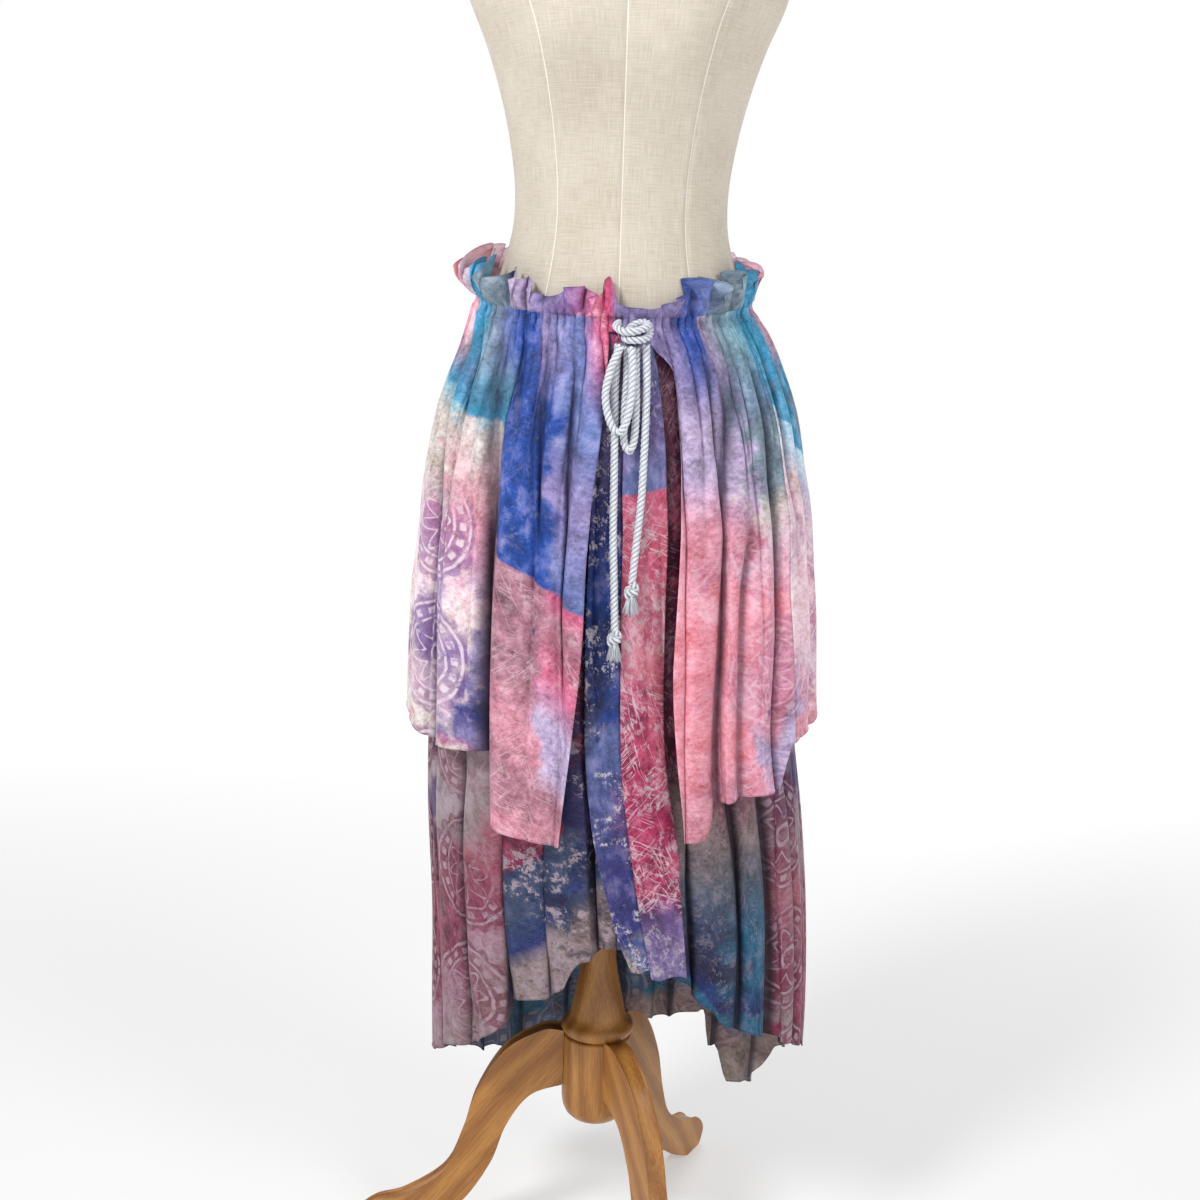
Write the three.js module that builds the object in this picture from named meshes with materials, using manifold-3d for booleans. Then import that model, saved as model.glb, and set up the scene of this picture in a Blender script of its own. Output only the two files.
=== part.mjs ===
// A tiered ruffle skirt with a rope drawstring, worn by a linen dress form on a turned wooden tripod.
// Millimetres, +Z up, -Y is the front. Angles round the skirt are degrees: 0 at the centre front,
// 90 at the side on +X, 180 at the back and -90 at the side on -X.
import * as THREE from "three";
import { mergeVertices } from "three/addons/utils/BufferGeometryUtils.js";
import Module from "manifold-3d";

const wasm = await Module();
wasm.setup();

// Driving sizes of the skirt
const CLOTH = 1.2; // wall of one cloth layer
const SEAM_GAP = 0.3; // between two pieces that meet
const SEAM_DEGREES = 0.06; // half of it, in degrees at the skirt's usual width
const COLUMN_STEP = 2.5; // degrees between two columns of a wall
const BAND_COLUMNS = 5;
const WAIST_HEIGHT = 1178; // gathering line above the floor, at the sides
const WAIST_DIP = 26; // the gathering line is this much lower in front and higher behind
const CASING_UP = 8;
const CASING_DOWN = 5;
const CASING_THICK = 8;
const CREASE_SETTLE = 160; // drop in which a crease swings from its place at the waist to its lower place
const GATHER_DEPTH = 1.6;
const GATHER_FADE = { from: 20, to: 130 }; // drops between which the small gathers run out
const BAND_STEP = { blue: 1.8, pink: 3.6 }; // how far each front band lies over the under layer at the waist
const OVER_STEP = 5.4; // the same for the over layer
const OVER_BANDS = 5; // extra room where the over layer hangs over the bands
const BAND_ARCH = 3; // the bands swell out this much
const BAND_SWELL = 150; // drop at which they do so in full
const FRONT_MIDDLE = 6; // degrees: the middle of the two bands
const BAND_REACH = { from: 14, to: 26 }; // degrees from that middle in which the over layer comes back in
const LAYER_SPREAD = 100; // drop at which the over layer has its full room
const OVER_FREE = { left: -7.5, right: 17.5 }; // usual angles of the over layer's free front edges
const HEM_REACH = 540; // drop at which the hems' angles are read
const CREASE_POWER = 1.6; // how sharp the bottom of a crease is
const CREASE_OPENS = 60; // drop over which a crease opens, before and after its start
const CREASE_CLOSES = { before: 90, after: 30 }; // the same for its end

// Driving sizes of the dress form and its stand
const FORM_BOTTOM = 950;
const POLE_RADIUS = 19;
const COLLAR_BOTTOM = 290;
const BLOCK_RADIUS = 42;
const BLOCK_BOTTOM = 176;
const LEG_THICK = 24;
const LEG_BEVEL = 3;
const LEG_TURNS = [179, 298, 60.5]; // degrees from +X, seen from above
const LEG_NAMES = ["leg_left", "leg_front", "leg_back"];

// Driving sizes of the drawstring
const ROPE_RADIUS = 4.5;
const ROPE_SIDES = 8;
const KNOT = { x: 12, y: -136.2, z: 1146, half: 20, deep: 15, tall: 15 };

const colours = {
  rose: 0xd98aa3,
  blue: 0x5673b8,
  lilac: 0xa99bc4,
  teal: 0x4f93ad,
  linen: 0xd8cfb9,
  wood: 0xb07b42,
  rope: 0xeceef0,
};

// The skirt's inner outline at each drop below the gathering line: half width, depth in front and
// behind, sideways shift, and how far the folds of the under and over layer stand out from it.
const outline = [
  { drop: -60, half: 141, front: 104, back: 99, shift: -8, under: 0, over: 1 },
  { drop: 0, half: 153, front: 113.5, back: 109, shift: -8, under: 0, over: 1 },
  { drop: 28, half: 160, front: 116, back: 117, shift: -3, under: 3, over: 4 },
  { drop: 56, half: 168, front: 117, back: 124, shift: -1, under: 5, over: 6 },
  { drop: 113, half: 184, front: 118, back: 134, shift: -1, under: 7, over: 10 },
  { drop: 171, half: 191, front: 118, back: 138, shift: -1, under: 9, over: 13 },
  { drop: 229, half: 196, front: 118, back: 141, shift: 1, under: 10, over: 17 },
  { drop: 288, half: 199, front: 118, back: 143, shift: 1, under: 11, over: 19 },
  { drop: 347, half: 201, front: 118, back: 145, shift: 2, under: 12, over: 21 },
  { drop: 469, half: 205, front: 119, back: 149, shift: 4, under: 12, over: 22 },
  { drop: 600, half: 214, front: 121, back: 153, shift: 13, under: 12, over: 22 },
  { drop: 720, half: 217, front: 122, back: 157, shift: 22, under: 12, over: 22 },
  { drop: 850, half: 219, front: 124, back: 161, shift: 26, under: 12, over: 22 },
  { drop: 1060, half: 213, front: 125, back: 166, shift: 25, under: 12, over: 22 },
];

// Creases between the hanging folds: angle at the waist and lower down, depth, half width in
// degrees, and the drops between which the crease is open.
const overCreases = [
  { top: -172, low: -171, deep: 16, wide: 8, from: 0, to: 900 },
  { top: -154, low: -154, deep: 14, wide: 8, from: 0, to: 900 },
  { top: -135, low: -136, deep: 18, wide: 9, from: 0, to: 900 },
  { top: -117, low: -118, deep: 13, wide: 8, from: 0, to: 900 },
  { top: -99, low: -98, deep: 12, wide: 7, from: 0, to: 900 },
  { top: -86, low: -80, deep: 8, wide: 6, from: 0, to: 300 },
  { top: -77, low: -61, deep: 13, wide: 6, from: 0, to: 900 },
  { top: -66, low: -50, deep: 9, wide: 5, from: 0, to: 160 },
  { top: -50, low: -37, deep: 22, wide: 7, from: 0, to: 900 },
  { top: -38, low: -29, deep: 9, wide: 4, from: 0, to: 150 },
  { top: -27, low: -21, deep: 9, wide: 4, from: 0, to: 260 },
  { top: -17, low: -13, deep: 7, wide: 5, from: 60, to: 420 },
  { top: 38, low: 26, deep: 9, wide: 4, from: 0, to: 150 },
  { top: 48, low: 29, deep: 22, wide: 6, from: 0, to: 900 },
  { top: 55, low: 40, deep: 12, wide: 6, from: 230, to: 900 },
  { top: 57, low: 55, deep: 18, wide: 6, from: 0, to: 900 },
  { top: 66, low: 65, deep: 10, wide: 5, from: 0, to: 200 },
  { top: 80, low: 77, deep: 12, wide: 7, from: 0, to: 900 },
  { top: 97, low: 95, deep: 14, wide: 8, from: 0, to: 900 },
  { top: 115, low: 112, deep: 16, wide: 8, from: 0, to: 900 },
  { top: 133, low: 131, deep: 14, wide: 8, from: 0, to: 900 },
  { top: 150, low: 149, deep: 18, wide: 9, from: 0, to: 900 },
  { top: 168, low: 167, deep: 12, wide: 8, from: 0, to: 900 },
];
const underCreases = [
  { top: -163, low: -163, deep: 9, wide: 9, from: 0, to: 1200 },
  { top: -145, low: -145, deep: 11, wide: 9, from: 0, to: 1200 },
  { top: -127, low: -127, deep: 9, wide: 9, from: 0, to: 1200 },
  { top: -108, low: -108, deep: 11, wide: 8, from: 0, to: 1200 },
  { top: -90, low: -89, deep: 7, wide: 7, from: 0, to: 1200 },
  { top: -74, low: -72, deep: 6, wide: 6, from: 0, to: 1200 },
  { top: -58, low: -54, deep: 6, wide: 6, from: 0, to: 1200 },
  { top: -42, low: -36, deep: 12, wide: 6, from: 0, to: 1200 },
  { top: -26, low: -22, deep: 6, wide: 6, from: 0, to: 1200 },
  { top: -8, low: -5, deep: 12, wide: 6, from: 0, to: 1200 },
  { top: 26, low: 24, deep: 8, wide: 6, from: 0, to: 1200 },
  { top: 44, low: 38, deep: 10, wide: 6, from: 0, to: 1200 },
  { top: 58, low: 53, deep: 12, wide: 6, from: 0, to: 1200 },
  { top: 72, low: 68, deep: 7, wide: 6, from: 0, to: 1200 },
  { top: 84, low: 80, deep: 8, wide: 6, from: 0, to: 1200 },
  { top: 103, low: 103, deep: 11, wide: 8, from: 0, to: 1200 },
  { top: 123, low: 122, deep: 9, wide: 8, from: 0, to: 1200 },
  { top: 141, low: 141, deep: 11, wide: 8, from: 0, to: 1200 },
  { top: 160, low: 160, deep: 9, wide: 9, from: 0, to: 1200 },
  { top: 179, low: 178, deep: 11, wide: 9, from: 0, to: 1200 },
];

// Height of each hem above the floor, round the skirt
const overHem = [
  { deg: -180, height: 750 },
  { deg: -105, height: 742 },
  { deg: -92, height: 722 },
  { deg: -82, height: 703 },
  { deg: -70, height: 686 },
  { deg: -57, height: 675 },
  { deg: -40, height: 679 },
  { deg: -38, height: 640 },
  { deg: -35, height: 592 },
  { deg: -14.6, height: 578 },
  { deg: 18.4, height: 589 },
  { deg: 26, height: 590 },
  { deg: 29, height: 628 },
  { deg: 40, height: 633 },
  { deg: 58, height: 638 },
  { deg: 61, height: 690 },
  { deg: 82, height: 703 },
  { deg: 100, height: 742 },
  { deg: 180, height: 750 },
];
const underHem = [
  { deg: -180, height: 222 },
  { deg: -168, height: 216 },
  { deg: -150, height: 208 },
  { deg: -147.5, height: 187 },
  { deg: -128, height: 212 },
  { deg: -110, height: 236 },
  { deg: -95, height: 258 },
  { deg: -69, height: 288 },
  { deg: -44, height: 322 },
  { deg: -37, height: 350 },
  { deg: -35, height: 376 },
  { deg: -22, height: 388 },
  { deg: -15, height: 404 },
  { deg: -12.5, height: 436 },
  { deg: -5, height: 452 },
  { deg: 3, height: 454 },
  { deg: 20, height: 410 },
  { deg: 25, height: 392 },
  { deg: 38, height: 343 },
  { deg: 53, height: 328 },
  { deg: 70, height: 302 },
  { deg: 82, height: 294 },
  { deg: 96, height: 272 },
  { deg: 110, height: 250 },
  { deg: 116, height: 238 },
  { deg: 119, height: 205 },
  { deg: 123, height: 180 },
  { deg: 137, height: 161 },
  { deg: 139.5, height: 213 },
  { deg: 146, height: 205 },
  { deg: 148.5, height: 254 },
  { deg: 168, height: 228 },
  { deg: 180, height: 222 },
];

// The free front edges of the over layer, and the side edges of the two front bands
const overEdges = [
  { drop: 0, left: -1.5, right: 25 },
  { drop: 50, left: -4, right: 22 },
  { drop: 115, left: -5.6, right: 19.5 },
  { drop: 247, left: -7.4, right: 17.1 },
  { drop: 370, left: -7.3, right: 15.8 },
  { drop: 460, left: -9, right: 16.7 },
  { drop: 540, left: -13, right: 17.7 },
  { drop: 580, left: -14.6, right: 18.4 },
];
const bandEdges = {
  blue: [
    { drop: 0, left: -6, right: 3.5 },
    { drop: 400, left: -8, right: 4.8 },
    { drop: 520, left: -7, right: 5.4 },
    { drop: 572, left: -5.8, right: 6.2 },
    { drop: 630, left: -3, right: 8 },
    { drop: 690, left: 0.3, right: 10 },
    { drop: 722, left: 3.4, right: 11 },
  ],
  pink: [
    { drop: 0, left: 2, right: 13.5 },
    { drop: 172, left: 2.3, right: 16.3 },
    { drop: 398, left: 2.7, right: 15.9 },
    { drop: 514, left: 3.5, right: 17.3 },
    { drop: 573, left: 4.6, right: 18.9 },
    { drop: 663, left: 6.8, right: 19.1 },
    { drop: 730, left: 9.2, right: 19.8 },
  ],
};
const overDrops = [22, 52, 105, 190, 310, 430]; // rows of a wall between its top and its hem
const underDrops = [45, 140, 330, 540, 680];
const bandDrops = [45, 140, 330, 540, 640];

// The frill above the casing, round the skirt: its height over the gathering line, how far its
// waves swing, and how far it leans out half way up and at its edge
const frillRows = [
  { deg: -180, tall: 40, swing: 7, mid: 10, top: 8 },
  { deg: -110, tall: 44, swing: 7, mid: 16, top: 13 },
  { deg: -80, tall: 46, swing: 7, mid: 18, top: 14 },
  { deg: -50, tall: 44, swing: 7, mid: 14, top: 11 },
  { deg: -30, tall: 42, swing: 7, mid: 10, top: 7 },
  { deg: -20, tall: 47, swing: 6, mid: 7, top: 4 },
  { deg: -3, tall: 45, swing: 4, mid: 5, top: 1 },
  { deg: 4, tall: 20, swing: 3, mid: 3, top: 2 },
  { deg: 16, tall: 26, swing: 4, mid: 4, top: 4 },
  { deg: 32, tall: 38, swing: 6, mid: 7, top: 7 },
  { deg: 60, tall: 44, swing: 7, mid: 7, top: 8 },
  { deg: 90, tall: 48, swing: 7, mid: 4, top: 7 },
  { deg: 110, tall: 44, swing: 7, mid: 6, top: 8 },
  { deg: 180, tall: 40, swing: 7, mid: 10, top: 8 },
];
const FRILL_MIDDLE = 0.5; // share of the frill's height where its middle row runs
const FRILL_WAVES = 36;

// The dress form: half width, depth in front and behind, at heights above the floor
const formSections = [
  { height: 950, half: 160, front: 100, back: 116 },
  { height: 1000, half: 170, front: 106, back: 127 },
  { height: 1060, half: 171, front: 110, back: 131 },
  { height: 1120, half: 158, front: 110, back: 124 },
  { height: 1152, half: 149, front: 111.5, back: 117 },
  { height: 1180, half: 144.4, front: 107.5, back: 110.5 },
  { height: 1204, half: 136.5, front: 102, back: 105 },
  { height: 1235, half: 127, front: 95, back: 94 },
  { height: 1265, half: 121, front: 89, back: 88 },
  { height: 1295, half: 120, front: 88, back: 85 },
  { height: 1348, half: 126, front: 93, back: 88 },
  { height: 1402, half: 138, front: 102, back: 96 },
  { height: 1455, half: 155, front: 110, back: 104 },
  { height: 1507, half: 176, front: 108, back: 109 },
  { height: 1560, half: 186, front: 97, back: 110 },
  { height: 1610, half: 183, front: 82, back: 104 },
  { height: 1648, half: 158, front: 72, back: 90 },
  { height: 1676, half: 112, front: 64, back: 74 },
  { height: 1696, half: 74, front: 57, back: 61 },
  { height: 1720, half: 58, front: 52, back: 54 },
  { height: 1760, half: 55, front: 50, back: 52 },
];
const FORM_SIDES = 32;
const FORM_SHIFT = -3; // the torso sits this far off its pole, sideways
const BUST = { across: 82, height: 1468, wide: 62, tall: 66, deep: 24 };

// Turned profile of the pole and its collar, and of the block that the legs join
const columnProfile = [
  { radius: 40, height: COLLAR_BOTTOM },
  { radius: 45, height: 297 },
  { radius: 44, height: 305 },
  { radius: 35, height: 315 },
  { radius: 30, height: 335 },
  { radius: 21.5, height: 380 },
  { radius: POLE_RADIUS, height: 430 },
  { radius: POLE_RADIUS, height: FORM_BOTTOM - SEAM_GAP },
];
const blockProfile = [
  { radius: 20, height: BLOCK_BOTTOM },
  { radius: 31, height: 180 },
  { radius: 39, height: 190 },
  { radius: BLOCK_RADIUS, height: 207 },
  { radius: BLOCK_RADIUS, height: COLLAR_BOTTOM - SEAM_GAP },
];
// Upper and lower edge of a leg: distance from the stand's axis and height
const legUpper = [
  { out: 36, height: 288.5 },
  { out: 50, height: 292 },
  { out: 70, height: 289 },
  { out: 112, height: 262 },
  { out: 146, height: 204 },
  { out: 163, height: 146 },
  { out: 186, height: 96 },
  { out: 236, height: 60 },
  { out: 276, height: 46 },
  { out: 300, height: 22 },
  { out: 289, height: 0 },
];
const legLower = [
  { out: 261, height: 0 },
  { out: 238, height: 11 },
  { out: 200, height: 33 },
  { out: 163, height: 64 },
  { out: 131, height: 115 },
  { out: 112, height: 167 },
  { out: 82, height: 209 },
  { out: 36, height: 227 },
];

// Routes of the drawstring's loose stretches, from the bow's knot
const ropeRoutes = {
  rope_loop_front: [
    { x: 1, y: -142, z: 1132.4 },
    { x: -9, y: -145, z: 1108 },
    { x: -14, y: -146, z: 1080 },
    { x: -9, y: -147, z: 1054 },
    { x: 0, y: -148, z: 1041 },
    { x: 8, y: -148, z: 1050 },
    { x: 13, y: -147, z: 1076 },
    { x: 14, y: -145, z: 1104 },
    { x: 12, y: -142, z: 1131 },
  ],
  rope_loop_back: [
    { x: 8, y: -131, z: 1130.9 },
    { x: 8, y: -134, z: 1100 },
    { x: 7, y: -137, z: 1060 },
    { x: 7, y: -138, z: 1034 },
    { x: 13, y: -139, z: 1021 },
    { x: 18, y: -139, z: 1034 },
    { x: 19, y: -138, z: 1062 },
    { x: 18, y: -134, z: 1100 },
    { x: 17.5, y: -131, z: 1131 },
  ],
  rope_tail_left: [
    { x: -2, y: -131, z: 1133.5 },
    { x: -4, y: -134.5, z: 1090 },
    { x: -3, y: -137, z: 1040 },
    { x: -2, y: -139, z: 990 },
    { x: -1, y: -140.5, z: 930 },
    { x: 2, y: -143, z: 870 },
    { x: 4, y: -146, z: 826 },
  ],
  rope_tail_right: [
    { x: 27.5, y: -135, z: 1133.9 },
    { x: 29.5, y: -135, z: 1090 },
    { x: 29.5, y: -137, z: 1030 },
    { x: 28, y: -139.5, z: 970 },
    { x: 24, y: -142.5, z: 918 },
    { x: 21, y: -146.5, z: 879 },
  ],
};
const ROPE_STEPS = { loop: 16, tail: 12 };
const TASSEL = { knot: 8.5, locks: 12, lock: 1.5, tall: 21, spread: 1.2, root: 3 };

const radians = THREE.MathUtils.degToRad;

// One row of a table, worked out between the two rows on either side of a value of its key column
function rowAt(table, key, value) {
  if (value <= table[0][key]) return table[0];
  for (let k = 1; k < table.length; k++) {
    if (value > table[k][key]) continue;
    const low = table[k - 1];
    const high = table[k];
    const share = (value - low[key]) / (high[key] - low[key]);
    const row = {};
    for (const column of Object.keys(low)) row[column] = THREE.MathUtils.lerp(low[column], high[column], share);
    return row;
  }
  return table[table.length - 1];
}

// Height of the gathering line, which dips in front
function waistHeight(deg) {
  return WAIST_HEIGHT - WAIST_DIP * Math.cos(radians(deg));
}

// A point of the skirt: at an angle and a drop, moved out from the inner outline
function skirtPoint(deg, drop, out) {
  const section = rowAt(outline, "drop", drop);
  const sine = Math.sin(radians(deg));
  const cosine = Math.cos(radians(deg));
  const depth = cosine > 0 ? section.front : section.back;
  const across = sine / section.half;
  const along = -cosine / depth;
  const size = Math.hypot(across, along);
  return new THREE.Vector3(
    section.shift + section.half * sine + (out * across) / size,
    -depth * cosine + (out * along) / size,
    waistHeight(deg) - drop,
  );
}

// How deep the creases cut in at an angle and a drop
function creaseDepth(creases, deg, drop, most) {
  let depth = 0;
  for (const crease of creases) {
    const centre = crease.low + (crease.top - crease.low) * Math.exp(-drop / CREASE_SETTLE);
    const away = Math.abs(((deg - centre + 540) % 360) - 180) / crease.wide;
    if (away >= 1) continue;
    const { before, after } = CREASE_CLOSES;
    const opening = THREE.MathUtils.smoothstep(drop, crease.from - CREASE_OPENS, crease.from + CREASE_OPENS);
    const closing = 1 - THREE.MathUtils.smoothstep(drop, crease.to - before, crease.to + after);
    depth += crease.deep * opening * closing * (1 - away) ** CREASE_POWER;
  }
  return Math.min(depth, most);
}

// How far each layer's inner face stands out from the inner outline
function underOut(deg, drop) {
  const most = rowAt(outline, "drop", drop).under;
  return most - creaseDepth(underCreases, deg, drop, most);
}

function bandOut(name, share, drop) {
  const across = name === "blue" ? 4 * share * (1 - share) : 1 - share * share;
  const arch = BAND_ARCH * across * THREE.MathUtils.smoothstep(drop, 0, BAND_SWELL);
  return rowAt(outline, "drop", drop).under + BAND_STEP[name] + arch;
}

function overOut(deg, drop) {
  const row = rowAt(outline, "drop", drop);
  const aside = 1 - THREE.MathUtils.smoothstep(Math.abs(deg - FRONT_MIDDLE), BAND_REACH.from, BAND_REACH.to);
  const room = OVER_BANDS * aside * THREE.MathUtils.smoothstep(drop, 0, LAYER_SPREAD);
  return row.under + OVER_STEP + room + row.over - creaseDepth(overCreases, deg, drop, row.over);
}

// The small gathers pull every second column in, less and less down the cloth
function gather(column, drop) {
  const fade = 1 - THREE.MathUtils.smoothstep(drop, GATHER_FADE.from, GATHER_FADE.to);
  return column % 2 ? GATHER_DEPTH * fade : 0;
}

// Turns a geometry's faces round if they point inwards
function facingOut(geometry) {
  const place = geometry.attributes.position;
  const index = geometry.index;
  const corner = [new THREE.Vector3(), new THREE.Vector3(), new THREE.Vector3()];
  let volume = 0;
  for (let k = 0; k < index.count; k += 3) {
    corner.forEach((point, n) => point.fromBufferAttribute(place, index.getX(k + n)));
    volume += corner[0].dot(corner[1].clone().cross(corner[2]));
  }
  if (volume < 0) {
    for (let k = 0; k < index.count; k += 3) {
      const kept = index.getX(k);
      index.setX(k, index.getX(k + 1));
      index.setX(k + 1, kept);
    }
  }
  geometry.computeVertexNormals();
  return geometry;
}

// A wall between two faces. pointAt(column, row, side) gives the points of the inner (0) and outer
// (1) face, and the rims at its four edges close it. Both faces are split along the same diagonals,
// so that a thin wall keeps its thickness where it twists.
function wallGeometry(columns, rows, pointAt) {
  const points = [];
  const faces = [];
  const number = (i, j, side) => (i * (rows + 1) + j) * 2 + side;
  const quad = (a, b, c, d) => faces.push(a, b, c, a, c, d);
  for (let i = 0; i <= columns; i++)
    for (let j = 0; j <= rows; j++)
      for (const side of [0, 1]) points.push(...pointAt(i, j, side).toArray());
  for (let i = 0; i < columns; i++) {
    for (let j = 0; j < rows; j++) {
      quad(number(i, j, 1), number(i + 1, j, 1), number(i + 1, j + 1, 1), number(i, j + 1, 1));
      quad(number(i, j, 0), number(i, j + 1, 0), number(i + 1, j + 1, 0), number(i + 1, j, 0));
    }
    quad(number(i, 0, 0), number(i + 1, 0, 0), number(i + 1, 0, 1), number(i, 0, 1));
    quad(number(i, rows, 1), number(i + 1, rows, 1), number(i + 1, rows, 0), number(i, rows, 0));
  }
  for (let j = 0; j < rows; j++) {
    quad(number(0, j, 0), number(0, j, 1), number(0, j + 1, 1), number(0, j + 1, 0));
    quad(number(columns, j + 1, 0), number(columns, j + 1, 1), number(columns, j, 1), number(columns, j, 0));
  }
  const geometry = new THREE.BufferGeometry();
  geometry.setAttribute("position", new THREE.Float32BufferAttribute(points, 3));
  geometry.setIndex(faces);
  return facingOut(geometry);
}

// The inner and outer point of a cloth wall on the skirt
function clothPoint(deg, drop, out, side) {
  return skirtPoint(deg, drop, out + side * CLOTH);
}

// A panel of the under layer, between two seams
function underPanel(from, to) {
  const columns = Math.round((to - from) / COLUMN_STEP);
  return wallGeometry(columns, underDrops.length + 1, (i, j, side) => {
    const deg = THREE.MathUtils.lerp(from + SEAM_DEGREES, to - SEAM_DEGREES, i / columns);
    const hem = waistHeight(deg) - rowAt(underHem, "deg", deg).height;
    const drop = [CASING_DOWN + SEAM_GAP, ...underDrops, hem][j];
    return clothPoint(deg, drop, underOut(deg, drop), side);
  });
}

// A panel of the over layer. A side given by name follows that free front edge.
function overPanel(from, to) {
  const columns = Math.round(((OVER_FREE[to] ?? to) - (OVER_FREE[from] ?? from)) / COLUMN_STEP);
  return wallGeometry(columns, overDrops.length + 1, (i, j, side) => {
    const angle = (drop) => {
      const edges = rowAt(overEdges, "drop", drop);
      const first = from === "right" ? edges.right : from + SEAM_DEGREES;
      const last = to === "left" ? edges.left : to - SEAM_DEGREES;
      return THREE.MathUtils.lerp(first, last, i / columns);
    };
    const reach = angle(HEM_REACH);
    const hem = waistHeight(reach) - rowAt(overHem, "deg", reach).height;
    const drop = [CASING_DOWN + SEAM_GAP, ...overDrops, hem][j];
    const deg = angle(drop);
    return clothPoint(deg, drop, overOut(deg, drop) - gather(i, drop), side);
  });
}

// A front band, from the casing to its own hem
function bandPanel(name) {
  const edges = bandEdges[name];
  const hem = edges[edges.length - 1].drop;
  return wallGeometry(BAND_COLUMNS, bandDrops.length + 1, (i, j, side) => {
    const drop = [CASING_DOWN + SEAM_GAP, ...bandDrops, hem][j];
    const edge = rowAt(edges, "drop", drop);
    const share = i / BAND_COLUMNS;
    const deg = THREE.MathUtils.lerp(edge.left, edge.right, share);
    return clothPoint(deg, drop, bandOut(name, share, drop), side);
  });
}

// Half of the casing: a thick band that the drawstring runs in
function casingHalf(from, to) {
  const columns = Math.round((to - from) / COLUMN_STEP);
  return wallGeometry(columns, 1, (i, j, side) => {
    const deg = THREE.MathUtils.lerp(from + SEAM_DEGREES, to - SEAM_DEGREES, i / columns);
    const drop = j ? CASING_DOWN : -CASING_UP;
    const pucker = side && i % 2 ? GATHER_DEPTH : 0;
    return skirtPoint(deg, drop, side * CASING_THICK - pucker);
  });
}

// Half of the frill: a wavy wall that stands on the casing
function frillHalf(from, to) {
  const columns = Math.round((to - from) / COLUMN_STEP);
  return wallGeometry(columns, 2, (i, j, side) => {
    const deg = THREE.MathUtils.lerp(from + SEAM_DEGREES, to - SEAM_DEGREES, i / columns);
    const row = rowAt(frillRows, "deg", deg);
    const share = [0, FRILL_MIDDLE, 1][j];
    const rise = THREE.MathUtils.lerp(CASING_UP + SEAM_GAP, row.tall, share);
    const wave = Math.sin(radians(FRILL_WAVES * deg)) * row.swing * share ** 0.8;
    const lean = [0, row.mid, row.top][j];
    return clothPoint(deg, -rise, (CASING_THICK - CLOTH) / 2 + lean + wave, side);
  });
}

// The torso of the dress form, closed at the neck and at its base
function torso() {
  const points = [];
  const faces = [];
  const levels = formSections.length;
  for (const section of formSections) {
    for (let k = 0; k < FORM_SIDES; k++) {
      const turn = (k / FORM_SIDES) * 2 * Math.PI;
      const x = section.half * Math.sin(turn);
      const front = Math.cos(turn) > 0;
      let y = -(front ? section.front : section.back) * Math.cos(turn);
      const aside = (Math.abs(x) - BUST.across) / BUST.wide;
      const above = (section.height - BUST.height) / BUST.tall;
      if (front) y -= BUST.deep * Math.exp(-aside * aside - above * above) * Math.cos(turn);
      points.push(x + FORM_SHIFT, y, section.height);
    }
  }
  for (let j = 0; j < levels - 1; j++) {
    for (let k = 0; k < FORM_SIDES; k++) {
      const next = (k + 1) % FORM_SIDES;
      const [a, b] = [j * FORM_SIDES + k, j * FORM_SIDES + next];
      const [c, d] = [b + FORM_SIDES, a + FORM_SIDES];
      faces.push(a, b, c, a, c, d);
    }
  }
  for (let k = 1; k < FORM_SIDES - 1; k++) {
    const top = (levels - 1) * FORM_SIDES;
    faces.push(0, k + 1, k, top, top + k, top + k + 1);
  }
  const geometry = new THREE.BufferGeometry();
  geometry.setAttribute("position", new THREE.Float32BufferAttribute(points, 3));
  geometry.setIndex(faces);
  return facingOut(geometry);
}

// A turned piece, from its profile, closed on the axis
function turned(profile, sides) {
  const points = profile.map(({ radius, height }) => new THREE.Vector2(radius, height));
  points.unshift(new THREE.Vector2(0, profile[0].height));
  points.push(new THREE.Vector2(0, profile[profile.length - 1].height));
  return new THREE.LatheGeometry(points, sides).rotateX(Math.PI / 2);
}

// A geometry as a solid for joining and cutting, and back
function solidOf(geometry) {
  const bare = geometry.clone();
  bare.deleteAttribute("normal");
  bare.deleteAttribute("uv");
  const merged = mergeVertices(bare, 1e-4);
  const vertProperties = merged.attributes.position.array;
  return new wasm.Manifold(new wasm.Mesh({ numProp: 3, vertProperties, triVerts: new Uint32Array(merged.index.array) }));
}

function geometryOf(solid) {
  const mesh = solid.getMesh();
  const geometry = new THREE.BufferGeometry();
  geometry.setAttribute("position", new THREE.Float32BufferAttribute(mesh.vertProperties, 3));
  geometry.setIndex([...mesh.triVerts]);
  geometry.computeVertexNormals();
  return geometry;
}

// A leg along +X: its side outline, thick across, with the end hollowed to fit round the block
function leg() {
  const curve = (rows) => {
    const line = new THREE.SplineCurve(rows.map(({ out, height }) => new THREE.Vector2(out, height)));
    return line.getPoints(rows.length * 2);
  };
  const shape = new THREE.Shape([...curve(legUpper), ...curve(legLower)]);
  const body = new THREE.ExtrudeGeometry(shape, {
    depth: LEG_THICK - 2 * LEG_BEVEL,
    bevelThickness: LEG_BEVEL,
    bevelSize: LEG_BEVEL,
    bevelOffset: -LEG_BEVEL,
    bevelSegments: 1,
  });
  body.translate(0, 0, -LEG_THICK / 2 + LEG_BEVEL).rotateX(Math.PI / 2);
  const seat = new THREE.CylinderGeometry(BLOCK_RADIUS + SEAM_GAP, BLOCK_RADIUS + SEAM_GAP, 400, 48);
  seat.rotateX(Math.PI / 2).translate(0, 0, 200);
  return geometryOf(solidOf(body).subtract(solidOf(seat)));
}

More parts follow.
